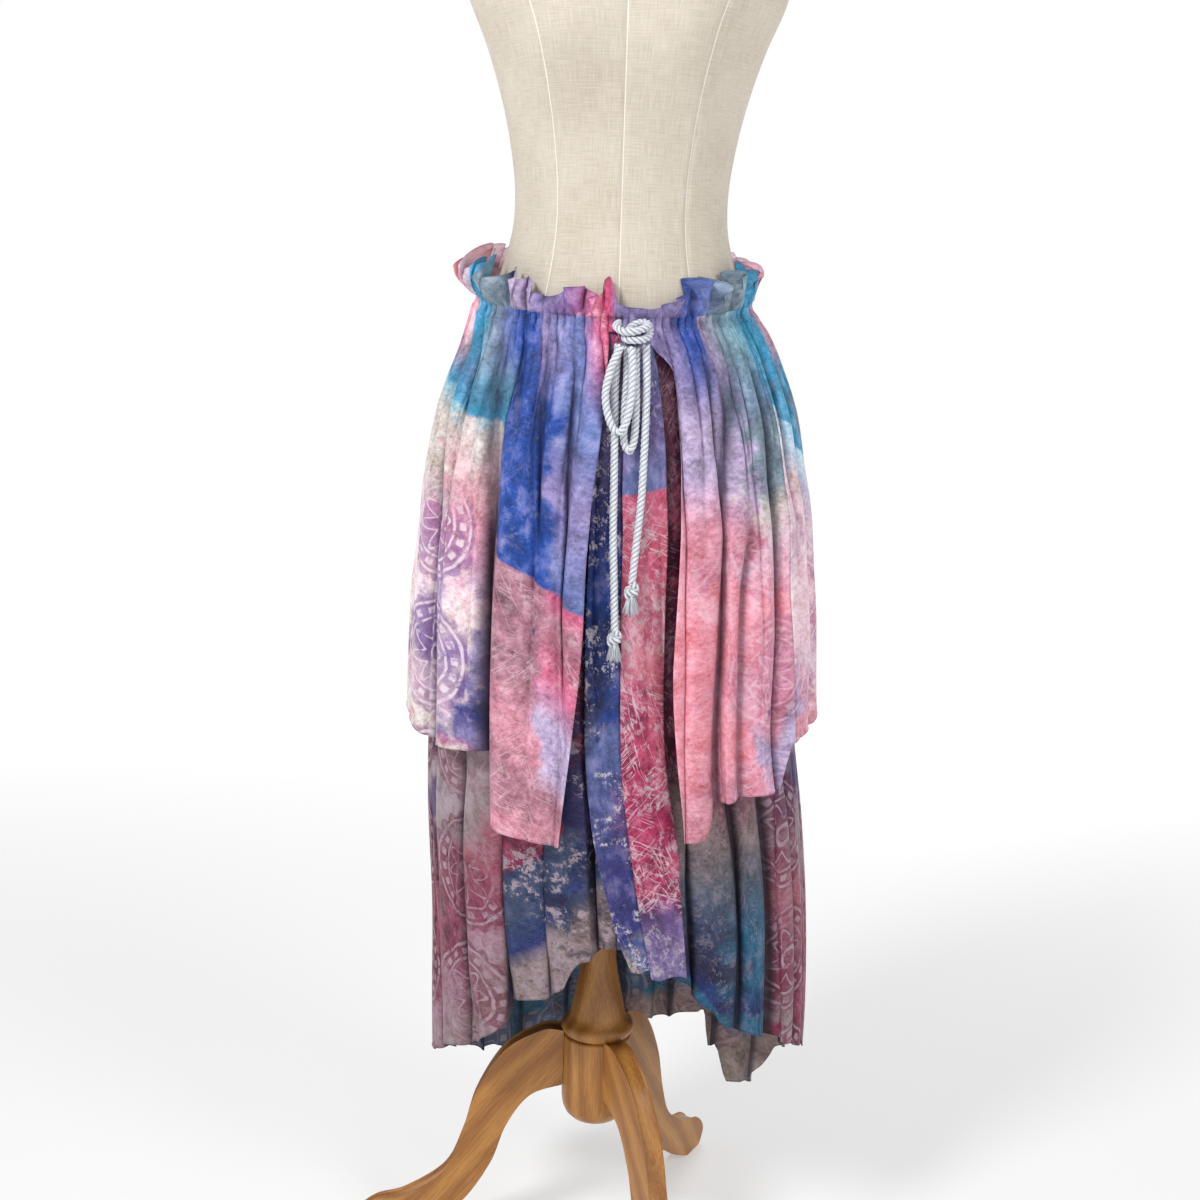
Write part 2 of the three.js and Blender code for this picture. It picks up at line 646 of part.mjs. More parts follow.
// A stretch of rope along its route
function rope(route, steps) {
  const section = new THREE.Shape();
  for (let k = 0; k < ROPE_SIDES; k++) {
    const turn = (k / ROPE_SIDES) * 2 * Math.PI;
    section[k ? "lineTo" : "moveTo"](ROPE_RADIUS * Math.cos(turn), ROPE_RADIUS * Math.sin(turn));
  }
  const extrudePath = new THREE.CatmullRomCurve3(route.map(({ x, y, z }) => new THREE.Vector3(x, y, z)), false, "centripetal");
  return new THREE.ExtrudeGeometry(section, { steps, extrudePath, bevelEnabled: false });
}

// The bow's knot, as one rounded body
function bowKnot() {
  return new THREE.SphereGeometry(1, 16, 10).scale(KNOT.half, KNOT.deep, KNOT.tall).translate(KNOT.x, KNOT.y, KNOT.z);
}

// A tassel at a rope's end: its stopper knot with the locks of thread rooted in it
function tassel(route) {
  const end = route[route.length - 1];
  const centre = new THREE.Vector3(end.x, end.y, end.z - TASSEL.knot - SEAM_GAP);
  let body = solidOf(new THREE.SphereGeometry(TASSEL.knot, 14, 10).rotateX(Math.PI / 2).translate(...centre.toArray()));
  for (let k = 0; k < TASSEL.locks; k++) {
    const turn = (k / TASSEL.locks) * 2 * Math.PI;
    const ring = k % 2 ? TASSEL.root : TASSEL.root * 2;
    const foot = TASSEL.spread * ring;
    const lock = new THREE.CylinderGeometry(TASSEL.lock * 0.8, TASSEL.lock, TASSEL.tall, 4, 1);
    lock.rotateX(Math.PI / 2);
    const place = lock.attributes.position;
    for (let n = 0; n < place.count; n++) {
      const share = 0.5 - place.getZ(n) / TASSEL.tall;
      const away = THREE.MathUtils.lerp(ring * 0.55, foot, share);
      place.setXY(n, place.getX(n) + away * Math.cos(turn), place.getY(n) + away * Math.sin(turn));
    }
    lock.translate(centre.x, centre.y, centre.z - TASSEL.tall / 2 - TASSEL.root);
    body = body.add(solidOf(lock));
  }
  return geometryOf(body);
}

const part = new THREE.Group();
const stand = new THREE.Group();
const skirt = new THREE.Group();
const drawstring = new THREE.Group();
part.add(stand, skirt, drawstring);

function addPiece(group, name, geometry, colour, roughness) {
  const mesh = new THREE.Mesh(geometry, new THREE.MeshStandardMaterial({ color: colours[colour], roughness }));
  mesh.name = name;
  group.add(mesh);
  return mesh;
}

addPiece(stand, "dress_form", torso(), "linen", 0.9);
addPiece(stand, "stand_column", turned(columnProfile, 28), "wood", 0.45);
addPiece(stand, "stand_block", turned(blockProfile, 28), "wood", 0.45);
LEG_NAMES.forEach((name, k) => {
  addPiece(stand, name, leg(), "wood", 0.45).rotation.z = radians(LEG_TURNS[k]);
});

addPiece(skirt, "under_back_left", underPanel(-180, -95), "rose", 0.7);
addPiece(skirt, "under_side_left", underPanel(-95, -37.5), "rose", 0.7);
addPiece(skirt, "under_front_left", underPanel(-37.5, 0), "blue", 0.7);
addPiece(skirt, "under_front_right", underPanel(0, 52.5), "teal", 0.7);
addPiece(skirt, "under_side_right", underPanel(52.5, 95), "rose", 0.7);
addPiece(skirt, "under_back_right", underPanel(95, 180), "rose", 0.7);
addPiece(skirt, "band_blue", bandPanel("blue"), "blue", 0.7);
addPiece(skirt, "band_pink", bandPanel("pink"), "rose", 0.7);
addPiece(skirt, "over_back_left", overPanel(-180, -97.5), "lilac", 0.7);
addPiece(skirt, "over_side_left", overPanel(-97.5, -37.5), "rose", 0.7);
addPiece(skirt, "over_front_left", overPanel(-37.5, "left"), "blue", 0.7);
addPiece(skirt, "over_front_right", overPanel("right", 62.5), "rose", 0.7);
addPiece(skirt, "over_side_right", overPanel(62.5, 97.5), "lilac", 0.7);
addPiece(skirt, "over_back_right", overPanel(97.5, 180), "lilac", 0.7);
addPiece(skirt, "casing_left", casingHalf(-180, 0), "lilac", 0.7);
addPiece(skirt, "casing_right", casingHalf(0, 180), "lilac", 0.7);
addPiece(skirt, "frill_left", frillHalf(-180, 0), "lilac", 0.7);
addPiece(skirt, "frill_right", frillHalf(0, 180), "lilac", 0.7);

addPiece(drawstring, "rope_knot", bowKnot(), "rope", 0.4);
for (const [name, route] of Object.entries(ropeRoutes)) {
  const steps = name.includes("loop") ? ROPE_STEPS.loop : ROPE_STEPS.tail;
  addPiece(drawstring, name, rope(route, steps), "rope", 0.4);
}
addPiece(drawstring, "tassel_left", tassel(ropeRoutes.rope_tail_left), "rope", 0.5);
addPiece(drawstring, "tassel_right", tassel(ropeRoutes.rope_tail_right), "rope", 0.5);

// The origin is at the middle of the whole thing's plan, on the floor
part.updateMatrixWorld(true);
const bounds = new THREE.Box3().setFromObject(part, true);
const middle = bounds.getCenter(new THREE.Vector3());
part.position.set(-middle.x, -middle.y, -bounds.min.z);

export default part;
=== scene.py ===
# %% [markdown]
# # A tiered ruffle skirt on its dress form
# The skirt has two gathered layers of thin printed cloth, two bands that hang down the front, a
# frill over a casing at the waist, and a twisted rope drawstring tied in a bow. A linen dress form on
# a wooden tripod wears it. The solid model gives every piece its place and size; this lesson gives
# the pieces their folds, their thickness and their finish.

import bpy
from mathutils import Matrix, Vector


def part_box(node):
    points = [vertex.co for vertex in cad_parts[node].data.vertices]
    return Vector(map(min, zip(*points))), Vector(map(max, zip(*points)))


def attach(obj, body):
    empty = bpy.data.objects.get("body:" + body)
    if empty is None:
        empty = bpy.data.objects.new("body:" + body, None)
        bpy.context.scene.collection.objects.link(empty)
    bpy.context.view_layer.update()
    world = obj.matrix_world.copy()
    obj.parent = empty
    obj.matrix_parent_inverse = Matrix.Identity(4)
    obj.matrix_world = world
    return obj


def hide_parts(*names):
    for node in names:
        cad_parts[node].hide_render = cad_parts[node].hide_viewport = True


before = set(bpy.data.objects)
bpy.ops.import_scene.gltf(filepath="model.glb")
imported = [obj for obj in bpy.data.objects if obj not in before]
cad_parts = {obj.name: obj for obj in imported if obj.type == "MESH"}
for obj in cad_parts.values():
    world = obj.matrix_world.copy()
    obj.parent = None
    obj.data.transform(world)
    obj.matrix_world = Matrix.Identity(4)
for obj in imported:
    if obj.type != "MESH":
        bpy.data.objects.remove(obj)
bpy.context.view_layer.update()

import math
from collections import namedtuple

import bpy
import numpy as np
from mathutils import Matrix, Vector

MM = 0.001
column_low, column_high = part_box("stand_column")
AXIS = Vector(((column_low.x + column_high.x) / 2, (column_low.y + column_high.y) / 2, 0))
print("the stand's axis is at", [round(value, 4) for value in AXIS])

# %% [markdown]
# ## The camera
# The photograph is taken a little above hip height, tilted ten degrees down and turned by almost two,
# so that the form leans to the right and its shoulders and feet fall outside the picture. A camera can
# be aimed at an empty with a constraint, or placed by its matrix. The matrix is used here, because it
# holds the small turn as well. A lens of 45 millimetres from under two metres gives the photograph's
# narrowing towards the feet.

# %% Set the camera
CAMERA_PLACE = Vector((-0.013, -1.746, 1.142))
TILT_DOWN = math.radians(10)
ROLL = math.radians(1.8)

camera_data = bpy.data.cameras.new("camera")
camera_data.lens = 45
camera_data.sensor_width = 36
camera = bpy.data.objects.new("camera", camera_data)
bpy.context.scene.collection.objects.link(camera)
turn = Matrix.Rotation(math.pi / 2 - TILT_DOWN, 4, "X") @ Matrix.Rotation(ROLL, 4, "Z")
camera.matrix_world = Matrix.Translation(CAMERA_PLACE + AXIS) @ turn
bpy.context.scene.camera = camera
print("camera", [round(value, 3) for value in camera.location])

# %% [markdown]
# ## Shader sums in Python
# A painted cloth is many small sums: this much noise, times that mask, plus an offset. Such sums can be
# wired by hand, one node at a time, but that is slow to read. So a small class wraps one socket and
# turns Python's own signs into Math nodes.

# %% A socket that takes part in sums
class Wire:
    def __init__(self, nodes, socket):
        self.nodes = nodes
        self.socket = socket

    def math(self, operation, *others):
        return self.nodes.sum(operation, self, *others)

    def __add__(self, other):
        return self.math("ADD", other)

    def __mul__(self, other):
        return self.math("MULTIPLY", other)

    def __sub__(self, other):
        return self.math("SUBTRACT", other)

    def __rsub__(self, other):
        return self.nodes.sum("SUBTRACT", other, self)

    def __truediv__(self, other):
        return self.math("DIVIDE", other)

    def __pow__(self, other):
        return self.math("POWER", other)

    def __abs__(self):
        return self.math("ABSOLUTE")

    __radd__ = __add__
    __rmul__ = __mul__

    def between(self, low, high):
        """0 at low and 1 at high, with a soft start and end."""
        settings = {"interpolation_type": "SMOOTHSTEP", "clamp": True}
        values = {"Value": self, "From Min": low, "From Max": high}
        return self.nodes.wire("ShaderNodeMapRange", settings, values)


# %% [markdown]
# Everything that isn't a plain sum is a node with a few settings and a few filled sockets. Each could
# be made in lines of its own, but one method makes them all, so that a noise, a ramp or a mix is one
# call with its numbers side by side.

# %% A tree of nodes
class Nodes:
    def __init__(self, tree):
        self.tree = tree

    def node(self, kind, settings=(), values=()):
        """A node of this kind: its settings first, then the values or wires of its sockets."""
        node = self.tree.nodes.new(kind)
        for name, value in dict(settings).items():
            if name == "stops":
                while len(node.color_ramp.elements) < len(value):
                    node.color_ramp.elements.new(0.5)
                for element, (place, shade) in zip(node.color_ramp.elements, value):
                    element.position = place
                    element.color = shade
            else:
                setattr(node, name, value)
        self.fill(node, values)
        return node

    def fill(self, node, values):
        """Links or sets the sockets of a node."""
        for name, value in dict(values).items():
            if isinstance(value, Wire):
                self.tree.links.new(value.socket, node.inputs[name])
            else:
                node.inputs[name].default_value = value

    def wire(self, kind, settings=(), values=(), output=0):
        """One output of a new node, ready for sums."""
        return Wire(self, self.node(kind, settings, values).outputs[output])

    def sum(self, operation, *values):
        return self.wire("ShaderNodeMath", {"operation": operation}, dict(enumerate(values)))

    def mix(self, factor, first, second, blend="MIX"):
        """Two colours, mixed."""
        settings = {"data_type": "RGBA", "blend_type": blend, "clamp_factor": True}
        return self.wire("ShaderNodeMix", settings, {0: factor, 6: first, 7: second}, 2)

    def ramp(self, factor, stops):
        return self.wire("ShaderNodeValToRGB", {"stops": stops}, {"Fac": factor}, "Color")

    def parts(self, vector):
        """The three numbers of a vector."""
        return [Wire(self, part) for part in self.node("ShaderNodeSeparateXYZ", {}, {0: vector}).outputs]

    def map(self, name):
        """The two numbers of one of the mesh's own maps, and the map as a vector."""
        vector = self.wire("ShaderNodeUVMap", {"uv_map": name})
        across, down, _ = self.parts(vector)
        return across, down, vector

    def stretch(self, vector, scale, shift=(0, 0, 0)):
        """A vector times a scale plus a shift."""
        values = {0: vector, 1: scale, 2: shift}
        return self.wire("ShaderNodeVectorMath", {"operation": "MULTIPLY_ADD"}, values)

    def noise(self, vector, scale, detail=2.0, roughness=0.5):
        values = {"Vector": vector, "Scale": scale, "Detail": detail, "Roughness": roughness}
        return self.wire("ShaderNodeTexNoise", {}, values)

    def drawn_noise(self, vector, scales, detail=2.0, roughness=0.5, shift=(0, 0, 0)):
        """Noise with a scale of its own in each direction."""
        return self.noise(self.stretch(vector, scales, shift), 1, detail, roughness)


# %% The nodes of one material
class Paint(Nodes):
    def __init__(self, name):
        self.material = bpy.data.materials.new(name)
        self.material.use_nodes = True
        super().__init__(self.material.node_tree)
        self.tree.nodes.clear()
        self.shader = self.node("ShaderNodeBsdfPrincipled")
        output = self.node("ShaderNodeOutputMaterial")
        self.tree.links.new(self.shader.outputs[0], output.inputs["Surface"])

    def dye_and_shade(self, factor, tint, code):
        """A tint darkened by another one: the print's darker dyes, and also painted shade."""
        return self.mix(factor, tint, colour(code), "MULTIPLY")

    def finish(self, values, bump=None, strength=0.3, distance=0.001):
        """Sets the shader's sockets. bump is a height wire, in parts of the distance."""
        self.fill(self.shader, values)
        if bump is not None:
            heights = {"Height": bump, "Strength": strength, "Distance": distance}
            self.fill(self.shader, {"Normal": self.wire("ShaderNodeBump", {}, heights)})
        return self.material


def colour(code):
    """A web colour as the linear values that Blender works in."""
    parts = [int(code[k : k + 2], 16) / 255 for k in (0, 2, 4)]
    return tuple(p / 12.92 if p < 0.04045 else ((p + 0.055) / 1.055) ** 2.4 for p in parts) + (1.0,)


print("shader helpers are ready; white is", colour("ffffff"))

# %% [markdown]
# ## Smooth tables and steady noise
# The solid walls run straight between a few rows. Cloth curves, so the same tables are read here along
# smooth curves. Small folds need chance. It could come from a displacement texture, but then the folds
# could not be drawn together at the waist or leaned over each other. So the noise is worked out here,
# from seeded lattices that close up after a full turn round the skirt and are the same every time.

# %% Helpers for curves and noise
def smooth_table(places, values, at):
    """Reads a table along a smooth curve."""
    places = np.asarray(places, float)
    values = np.asarray(values, float)
    slopes = np.gradient(values, places)
    steps = np.diff(values) / np.diff(places)
    for k, step in enumerate(steps):
        for end in (k, k + 1):
            limit = 3 * abs(step)
            slopes[end] = np.clip(slopes[end], -limit, limit)
    at = np.clip(at, places[0], places[-1])
    k = np.clip(np.searchsorted(places, at, side="right") - 1, 0, len(places) - 2)
    width = places[k + 1] - places[k]
    share = (at - places[k]) / width
    square, cube = share**2, share**3
    start = (2 * cube - 3 * square + 1) * values[k] + (cube - 2 * square + share) * width * slopes[k]
    return start + (3 * square - 2 * cube) * values[k + 1] + (cube - square) * width * slopes[k + 1]


def soft(value, low, high):
    """0 at low and 1 at high, with a soft start and end."""
    share = np.clip((value - low) / (high - low), 0, 1)
    return share * share * (3 - 2 * share)


NOISE_ROWS = 64
TABLE_START = 2000  # millimetres added to a drop, so that the noise never reads a row below its first


def round_noise(deg, cells, seed, down=None, span=1.0):
    """Noise from -1 to 1 round the skirt, and down it where down is given."""
    lattice = np.random.default_rng(seed).uniform(-1, 1, (cells, NOISE_ROWS))
    across = (np.asarray(deg) / 360 % 1) * cells
    left = np.floor(across).astype(int)
    share = soft(across - left, 0, 1)
    low = np.zeros_like(left) if down is None else np.floor(down / span).astype(int)
    rise = 0 if down is None else soft(down / span - low, 0, 1)

    def corner(aside, below):
        return lattice[(left + aside) % cells, (low + below) % NOISE_ROWS]

    lower = corner(0, 0) * (1 - share) + corner(1, 0) * share
    upper = corner(0, 1) * (1 - share) + corner(1, 1) * share
    return lower * (1 - rise) + upper * rise


def fold_phase(deg, drop, count, seed):
    """Half a turn for each fold of a row, none quite as wide as the next."""
    drift = 0.8 * round_noise(deg, count // 3, seed + 1, drop + TABLE_START, 190)
    return math.pi * count * np.asarray(deg) / 360 + 1.3 * round_noise(deg, count // 2, seed) + drift


def valleys(deg, drop, count, seed, power=0.55):
    """0 on the round crests of a row of folds, up to 1 in the sharp valleys between them."""
    size = 0.68 + 0.32 * round_noise(deg, count // 2, seed + 2, drop + TABLE_START, 240)
    return (1 - np.abs(np.sin(fold_phase(deg, drop, count, seed))) ** power) * size


def pinch(deg, drop, count, seed):
    """How many degrees the sides of the folds lean over the valleys, which closes them to slits."""
    return -np.sin(2 * fold_phase(deg, drop, count, seed)) * 360 / (2 * math.pi * count)


print("tables and noise are ready")

# %% [markdown]
# ## The skirt's own measures
# These are the sizes that the solid walls follow, in millimetres, with angles in degrees from the
# centre front. A row gives the body of the skirt at one drop below the gathering line. A crease is the
# valley between two hanging folds: it leaves the waist at one angle and settles at another. The cloth
# could be wrapped onto the solids with a modifier, but its folds are finer than they are, so it is
# built from the same sizes instead.

# %% Measures
WAIST_HEIGHT, WAIST_DIP = 1178, 26
CASING_UP, CASING_DOWN = 8, 5
CREASE_SETTLE = 160  # drop in which a crease swings from its place at the waist to its lower place
CREASE_OPENS = 60  # drop over which it opens, before and after its start
CREASE_CLOSES = {"before": 90, "after": 30}  # the same for its end
CREASE_SLIT = 2.1  # half width in degrees of the sharp line at its bottom
OVER_STEP, OVER_ROOM = 5.4, 5
FRONT_MIDDLE = 6  # degrees: the middle of the two bands
BAND_REACH = (14, 26)  # degrees from that middle in which the over layer comes back in
OVER_FREE = {"left": -7.5, "right": 17.5}  # usual angles of the over layer's free front edges
HEM_REACH = 540.0  # drop at which the hems' angles are read
BAND_STEP = {"blue": 1.8, "pink": 3.6}
BAND_TURN = {"blue": 0.4, "pink": 2.2}  # where the ripples of each band start, as an angle of their wave
BAND_ARCH, BAND_RIPPLE = 3, 2.4
BAND_COLUMNS = 44
HEM_WANDER = 1.5  # how far a hem strays from its line
CLOTH = 0.55  # the cloth's real thickness, with its crinkle
MM_A_DEGREE = 3.4  # millimetres of cloth in one degree, in front

OUTLINE = {
    "drop": [-60, 0, 28, 56, 113, 171, 229, 288, 347, 469, 600, 720, 850, 1060],
    "half": [141, 153, 160, 168, 184, 191, 196, 199, 201, 205, 214, 217, 219, 213],
    "front": [104, 113.5, 116, 117, 118, 118, 118, 118, 118, 119, 121, 122, 124, 125],
    "back": [99, 109, 117, 124, 134, 138, 141, 143, 145, 149, 153, 157, 161, 166],
    "shift": [-8, -8, -3, -1, -1, -1, 1, 1, 2, 4, 13, 22, 26, 25],
    "under": [0, 0, 3, 5, 7, 9, 10, 11, 12, 12, 12, 12, 12, 12],
    "over": [1, 1, 4, 6, 10, 13, 17, 19, 21, 22, 22, 22, 22, 22],
}
# angle at the waist, angle lower down, depth, half width in degrees, drops where it opens and closes
OVER_CREASES = [
    (-172, -171, 16, 8, 0, 900), (-154, -154, 14, 8, 0, 900), (-135, -136, 18, 9, 0, 900),
    (-117, -118, 13, 8, 0, 900), (-99, -98, 12, 7, 0, 900), (-86, -80, 8, 6, 0, 300),
    (-77, -61, 13, 6, 0, 900), (-66, -50, 9, 5, 0, 160), (-50, -37, 22, 7, 0, 900),
    (-38, -29, 9, 4, 0, 150), (-27, -21, 9, 4, 0, 260), (-17, -13, 7, 5, 60, 420),
    (38, 26, 9, 4, 0, 150), (48, 29, 22, 6, 0, 900), (55, 40, 12, 6, 230, 900),
    (57, 55, 18, 6, 0, 900), (66, 65, 10, 5, 0, 200), (80, 77, 12, 7, 0, 900),
    (97, 95, 14, 8, 0, 900), (115, 112, 16, 8, 0, 900), (133, 131, 14, 8, 0, 900),
    (150, 149, 18, 9, 0, 900), (168, 167, 12, 8, 0, 900),
]
UNDER_CREASES = [
    (-163, -163, 9, 9, 0, 1200), (-145, -145, 11, 9, 0, 1200), (-127, -127, 9, 9, 0, 1200),
    (-108, -108, 11, 8, 0, 1200), (-90, -89, 7, 7, 0, 1200), (-74, -72, 6, 6, 0, 1200),
    (-58, -54, 6, 6, 0, 1200), (-42, -36, 12, 6, 0, 1200), (-26, -22, 6, 6, 0, 1200),
    (-8, -5, 12, 6, 0, 1200), (26, 24, 8, 6, 0, 1200), (44, 38, 10, 6, 0, 1200),
    (58, 53, 12, 6, 0, 1200), (72, 68, 7, 6, 0, 1200), (84, 80, 8, 6, 0, 1200),
    (103, 103, 11, 8, 0, 1200), (123, 122, 9, 8, 0, 1200), (141, 141, 11, 8, 0, 1200),
    (160, 160, 9, 9, 0, 1200), (179, 178, 11, 9, 0, 1200),
]
OVER_HEM = [
    (-180, 750), (-105, 742), (-92, 722), (-82, 703), (-70, 686), (-57, 675), (-40, 679), (-38, 640),
    (-35, 592), (-14.6, 578), (18.4, 589), (26, 590), (29, 628), (40, 633), (58, 638), (61, 690),
    (82, 703), (100, 742), (180, 750),
]
UNDER_HEM = [
    (-180, 222), (-168, 216), (-150, 208), (-147.5, 187), (-128, 212), (-110, 236), (-95, 258),
    (-69, 288), (-44, 322), (-37, 350), (-35, 376), (-22, 388), (-15, 404), (-12.5, 436), (-5, 452),
    (3, 454), (20, 410), (25, 392), (38, 343), (53, 328), (70, 302), (82, 294), (96, 272), (110, 250),
    (116, 238), (119, 205), (123, 180), (137, 161), (139.5, 213), (146, 205), (148.5, 254), (168, 228),
    (180, 222),
]
# drop, left edge, right edge, in degrees
OVER_EDGES = [
    (0, -1.5, 13), (22, -2.7, 14), (56, -4.2, 20.5), (115, -5.6, 19.5), (247, -7.4, 17.1),
    (370, -7.3, 15.8), (460, -9, 16.7), (540, -13, 17.7), (580, -14.6, 18.4),
]
BAND_EDGES = {
    "blue": [
        (0, -6, 3.5), (400, -8, 4.8), (520, -7, 5.4), (572, -5.8, 6.2), (630, -3, 8), (690, 0.3, 10),
        (722, 3.4, 11),
    ],
    "pink": [
        (0, 2, 13.5), (172, 2.3, 16.3), (398, 2.7, 15.9), (514, 3.5, 17.3), (573, 4.6, 18.9),
        (663, 6.8, 19.1), (730, 9.2, 19.8),
    ],
}


def waist_height(deg):
    return WAIST_HEIGHT - WAIST_DIP * np.cos(np.radians(deg))


def row(name, drop):
    return smooth_table(OUTLINE["drop"], OUTLINE[name], drop)


def skirt_point(deg, drop, out):
    """Points of the skirt in metres: at an angle and a drop, moved out from its body."""
    half, front, back, shift = (row(name, drop) for name in ("half", "front", "back", "shift"))
    sine, cosine = np.sin(np.radians(deg)), np.cos(np.radians(deg))
    depth = np.where(cosine > 0, front, back)
    across, along = sine / half, -cosine / depth
    size = np.hypot(across, along)
    x = shift + half * sine + out * across / size
    y = -depth * cosine + out * along / size
    z = waist_height(deg) - drop
    return np.stack([x * MM + AXIS.x, y * MM + AXIS.y, z * MM], axis=-1)


def crease_depth(creases, deg, drop, most):
    """How deep the creases are, and how many degrees their sides lean over them."""
    depth = np.zeros(np.broadcast(deg, drop).shape)
    turn = np.zeros_like(depth)
    for top, low, deep, wide, start, end in creases:
        centre = low + (top - low) * np.exp(-drop / CREASE_SETTLE)
        side = ((deg - centre + 540) % 360 - 180) / wide
        away = np.abs(side)
        opening = soft(drop, start - CREASE_OPENS, start + CREASE_OPENS)
        opening = opening * (1 - soft(drop, end - CREASE_CLOSES["before"], end + CREASE_CLOSES["after"]))
        slit = np.clip(1 - away * wide / CREASE_SLIT, 0, 1) ** 1.3
        depth = depth + opening * (deep * np.clip(1 - away, 0, 1) ** 1.6 + 0.8 * deep * slit)
        turn = turn - opening * min(deep / 12, 1) * 0.75 * wide * side * np.clip(1 - away, 0, 1) ** 2
    return np.minimum(depth, most + 4.0), turn


print(len(OVER_CREASES), "creases in the over layer and", len(UNDER_CREASES), "in the under layer")

# %% [markdown]
# ## From a formula to a sheet of cloth
# A panel is a grid of columns and rows. Each point of the grid is pushed out from the body of the
# skirt twice, once for each face of the cloth, and the two faces are joined at the edges. A modifier
# could thicken a single sheet, but then its edges would not roll. The grid also carries three flat
# maps: where a point is on the printed cloth, where it is on the panel, and how far it is from the hem
# and how deep in a fold. The paint reads those, and paints shade into the folds by the last.

# %% Build a sheet
def add_piece(name, points, faces, maps=(), all_smooth=False):
    """A new piece in the scene. Its faces with four corners are shaded smooth, or all of them.
    Its maps have a pair of numbers for each point."""
    mesh = bpy.data.meshes.new(name)
    mesh.from_pydata(points, [], faces)
    mesh.polygons.foreach_set("use_smooth", [all_smooth or len(face) == 4 for face in faces])
    corners = np.concatenate([np.asarray(face) for face in faces])
    for label, pairs in dict(maps).items():
        mesh.uv_layers.new(name=label).data.foreach_set("uv", pairs[corners].astype("f").ravel())
    mesh.update()
    piece = bpy.data.objects.new(name, mesh)
    bpy.context.scene.collection.objects.link(piece)
    return piece


def pairs_of(across, down, shape):
    """A map's pairs, one for each point of a grid."""
    pair = np.stack([np.broadcast_to(across, shape), np.broadcast_to(down, shape)], -1)
    return pair.reshape(-1, 2)


def grid_mesh(name, inner, outer, maps):
    """A closed thin shell from two grids of points, with its maps."""
    number = np.arange(inner[..., 0].size).reshape(inner.shape[:2])
    back = number + number.size
    a, b, c, d = number[:-1, :-1], number[1:, :-1], number[1:, 1:], number[:-1, 1:]
    quads = [np.stack([a, b, c, d], -1).reshape(-1, 4) + number.size]
    quads.append(np.stack([a, d, c, b], -1).reshape(-1, 4))
    for inside, outside in ((number[:, 0], back[:, 0]), (number[-1, :], back[-1, :])):
        quads.append(np.stack([inside[:-1], inside[1:], outside[1:], outside[:-1]], -1))
    for inside, outside in ((number[:, -1], back[:, -1]), (number[0, :], back[0, :])):
        quads.append(np.stack([outside[:-1], outside[1:], inside[1:], inside[:-1]], -1))
    points = np.concatenate([inner.reshape(-1, 3), outer.reshape(-1, 3)])
    both = {label: np.tile(pairs_of(*pair, number.shape), (2, 1)) for label, pair in maps.items()}
    return add_piece(name, points, np.concatenate(quads), both)


CLOTH_WIDTH = 1.4  # metres of printed cloth once round the skirt


def sheet_maps(deg, drop, top, hem, start, folded):
    """The three maps of a panel."""
    return {
        "print": (deg / 360 * CLOTH_WIDTH + start, -drop * MM),
        "place": ((deg - deg[:1]) / (deg[-1:] - deg[:1]), (drop - top) / (hem - top)),
        "edge": (hem - drop, folded),
    }


def row_shares(drops_top, hem, spacing, fine=(0, 0.8, 1.6, 2.4, 3.2, 5, 9)):
    """Rows from the top of a panel to its hem, close together in the last few millimetres."""
    count = max(2, int(np.ceil((np.max(hem) - drops_top - fine[-1]) / spacing)))
    shares = np.linspace(0, 1, count)[None, :]
    upper = drops_top + (hem[:, None] - fine[-1] - drops_top) * shares
    lower = hem[:, None] - np.array(fine[-2::-1])[None, :]
    return np.concatenate([upper, lower], axis=1)


def hem_roll(left):
    """The narrow rolled hem stands a little proud of the cloth. left is the distance to the edge."""
    return 0.75 * np.exp(-(((left - 1.3) / 1.1) ** 2))


# %% [markdown]
# ## Both gathered layers
# Gathering packs a wide cloth into a narrow waist. Many fine folds start there, and they join into
# fewer and wider ones as the cloth hangs free. A cloth simulation could make them, but the hems and the
# gap in front have to stay where the photograph has them. So the small folds are added in a few sizes,
# each over the drops where it shows, on top of the deep creases that the solid walls have.

# %% The folds of the two layers
# number of folds round the skirt, depth, the drops where they start and where they fade, what is left
OVER_FOLDS = [
    (112, 6.5, -60, -40, 25, 110, 0.0, 11),
    (58, 12.0, 0, 25, 90, 280, 0.12, 22),
    (31, 13.0, 15, 80, 330, 620, 0.5, 33),
    (17, 12.0, 110, 330, 900, 1000, 1.0, 44),
]
UNDER_FOLDS = [
    (41, 2.5, 300, 520, 900, 1300, 0.6, 66),
    (19, 8.0, 330, 620, 1500, 1600, 1.0, 77),
]
print(sum(fold[0] for fold in OVER_FOLDS), "small folds in the over layer")


def small_folds(deg, drop, sizes):
    """How deep the small folds are, and how many degrees their sides lean."""
    depth, turn = 0, 0
    for count, deep, grow, grown, fade, faded, left, seed in sizes:
        rest = soft(drop, grow, grown) * (1 - (1 - left) * soft(drop, fade, faded))
        depth = depth + deep * rest * valleys(deg, drop, count, seed)
        turn = turn + 0.5 * rest * pinch(deg, drop, count, seed)
    return depth, turn


def hem_drop(table, deg, seed):
    """How far below the gathering line the hem is, with a little unevenness."""
    places, heights = zip(*table)
    return waist_height(deg) - np.interp(deg, places, heights) - HEM_WANDER * round_noise(deg, 60, seed)


def under_shape(deg, drop):
    """How far the under layer stands out at an angle and a drop, and how far it is turned there."""
    most = row("under", drop)
    creases, lean = crease_depth(UNDER_CREASES, deg, drop, most)
    folds, turn = small_folds(deg, drop, UNDER_FOLDS)
    return 0.3 + most - creases - folds, turn + lean * soft(drop, 380, 560), (creases + folds) / 14


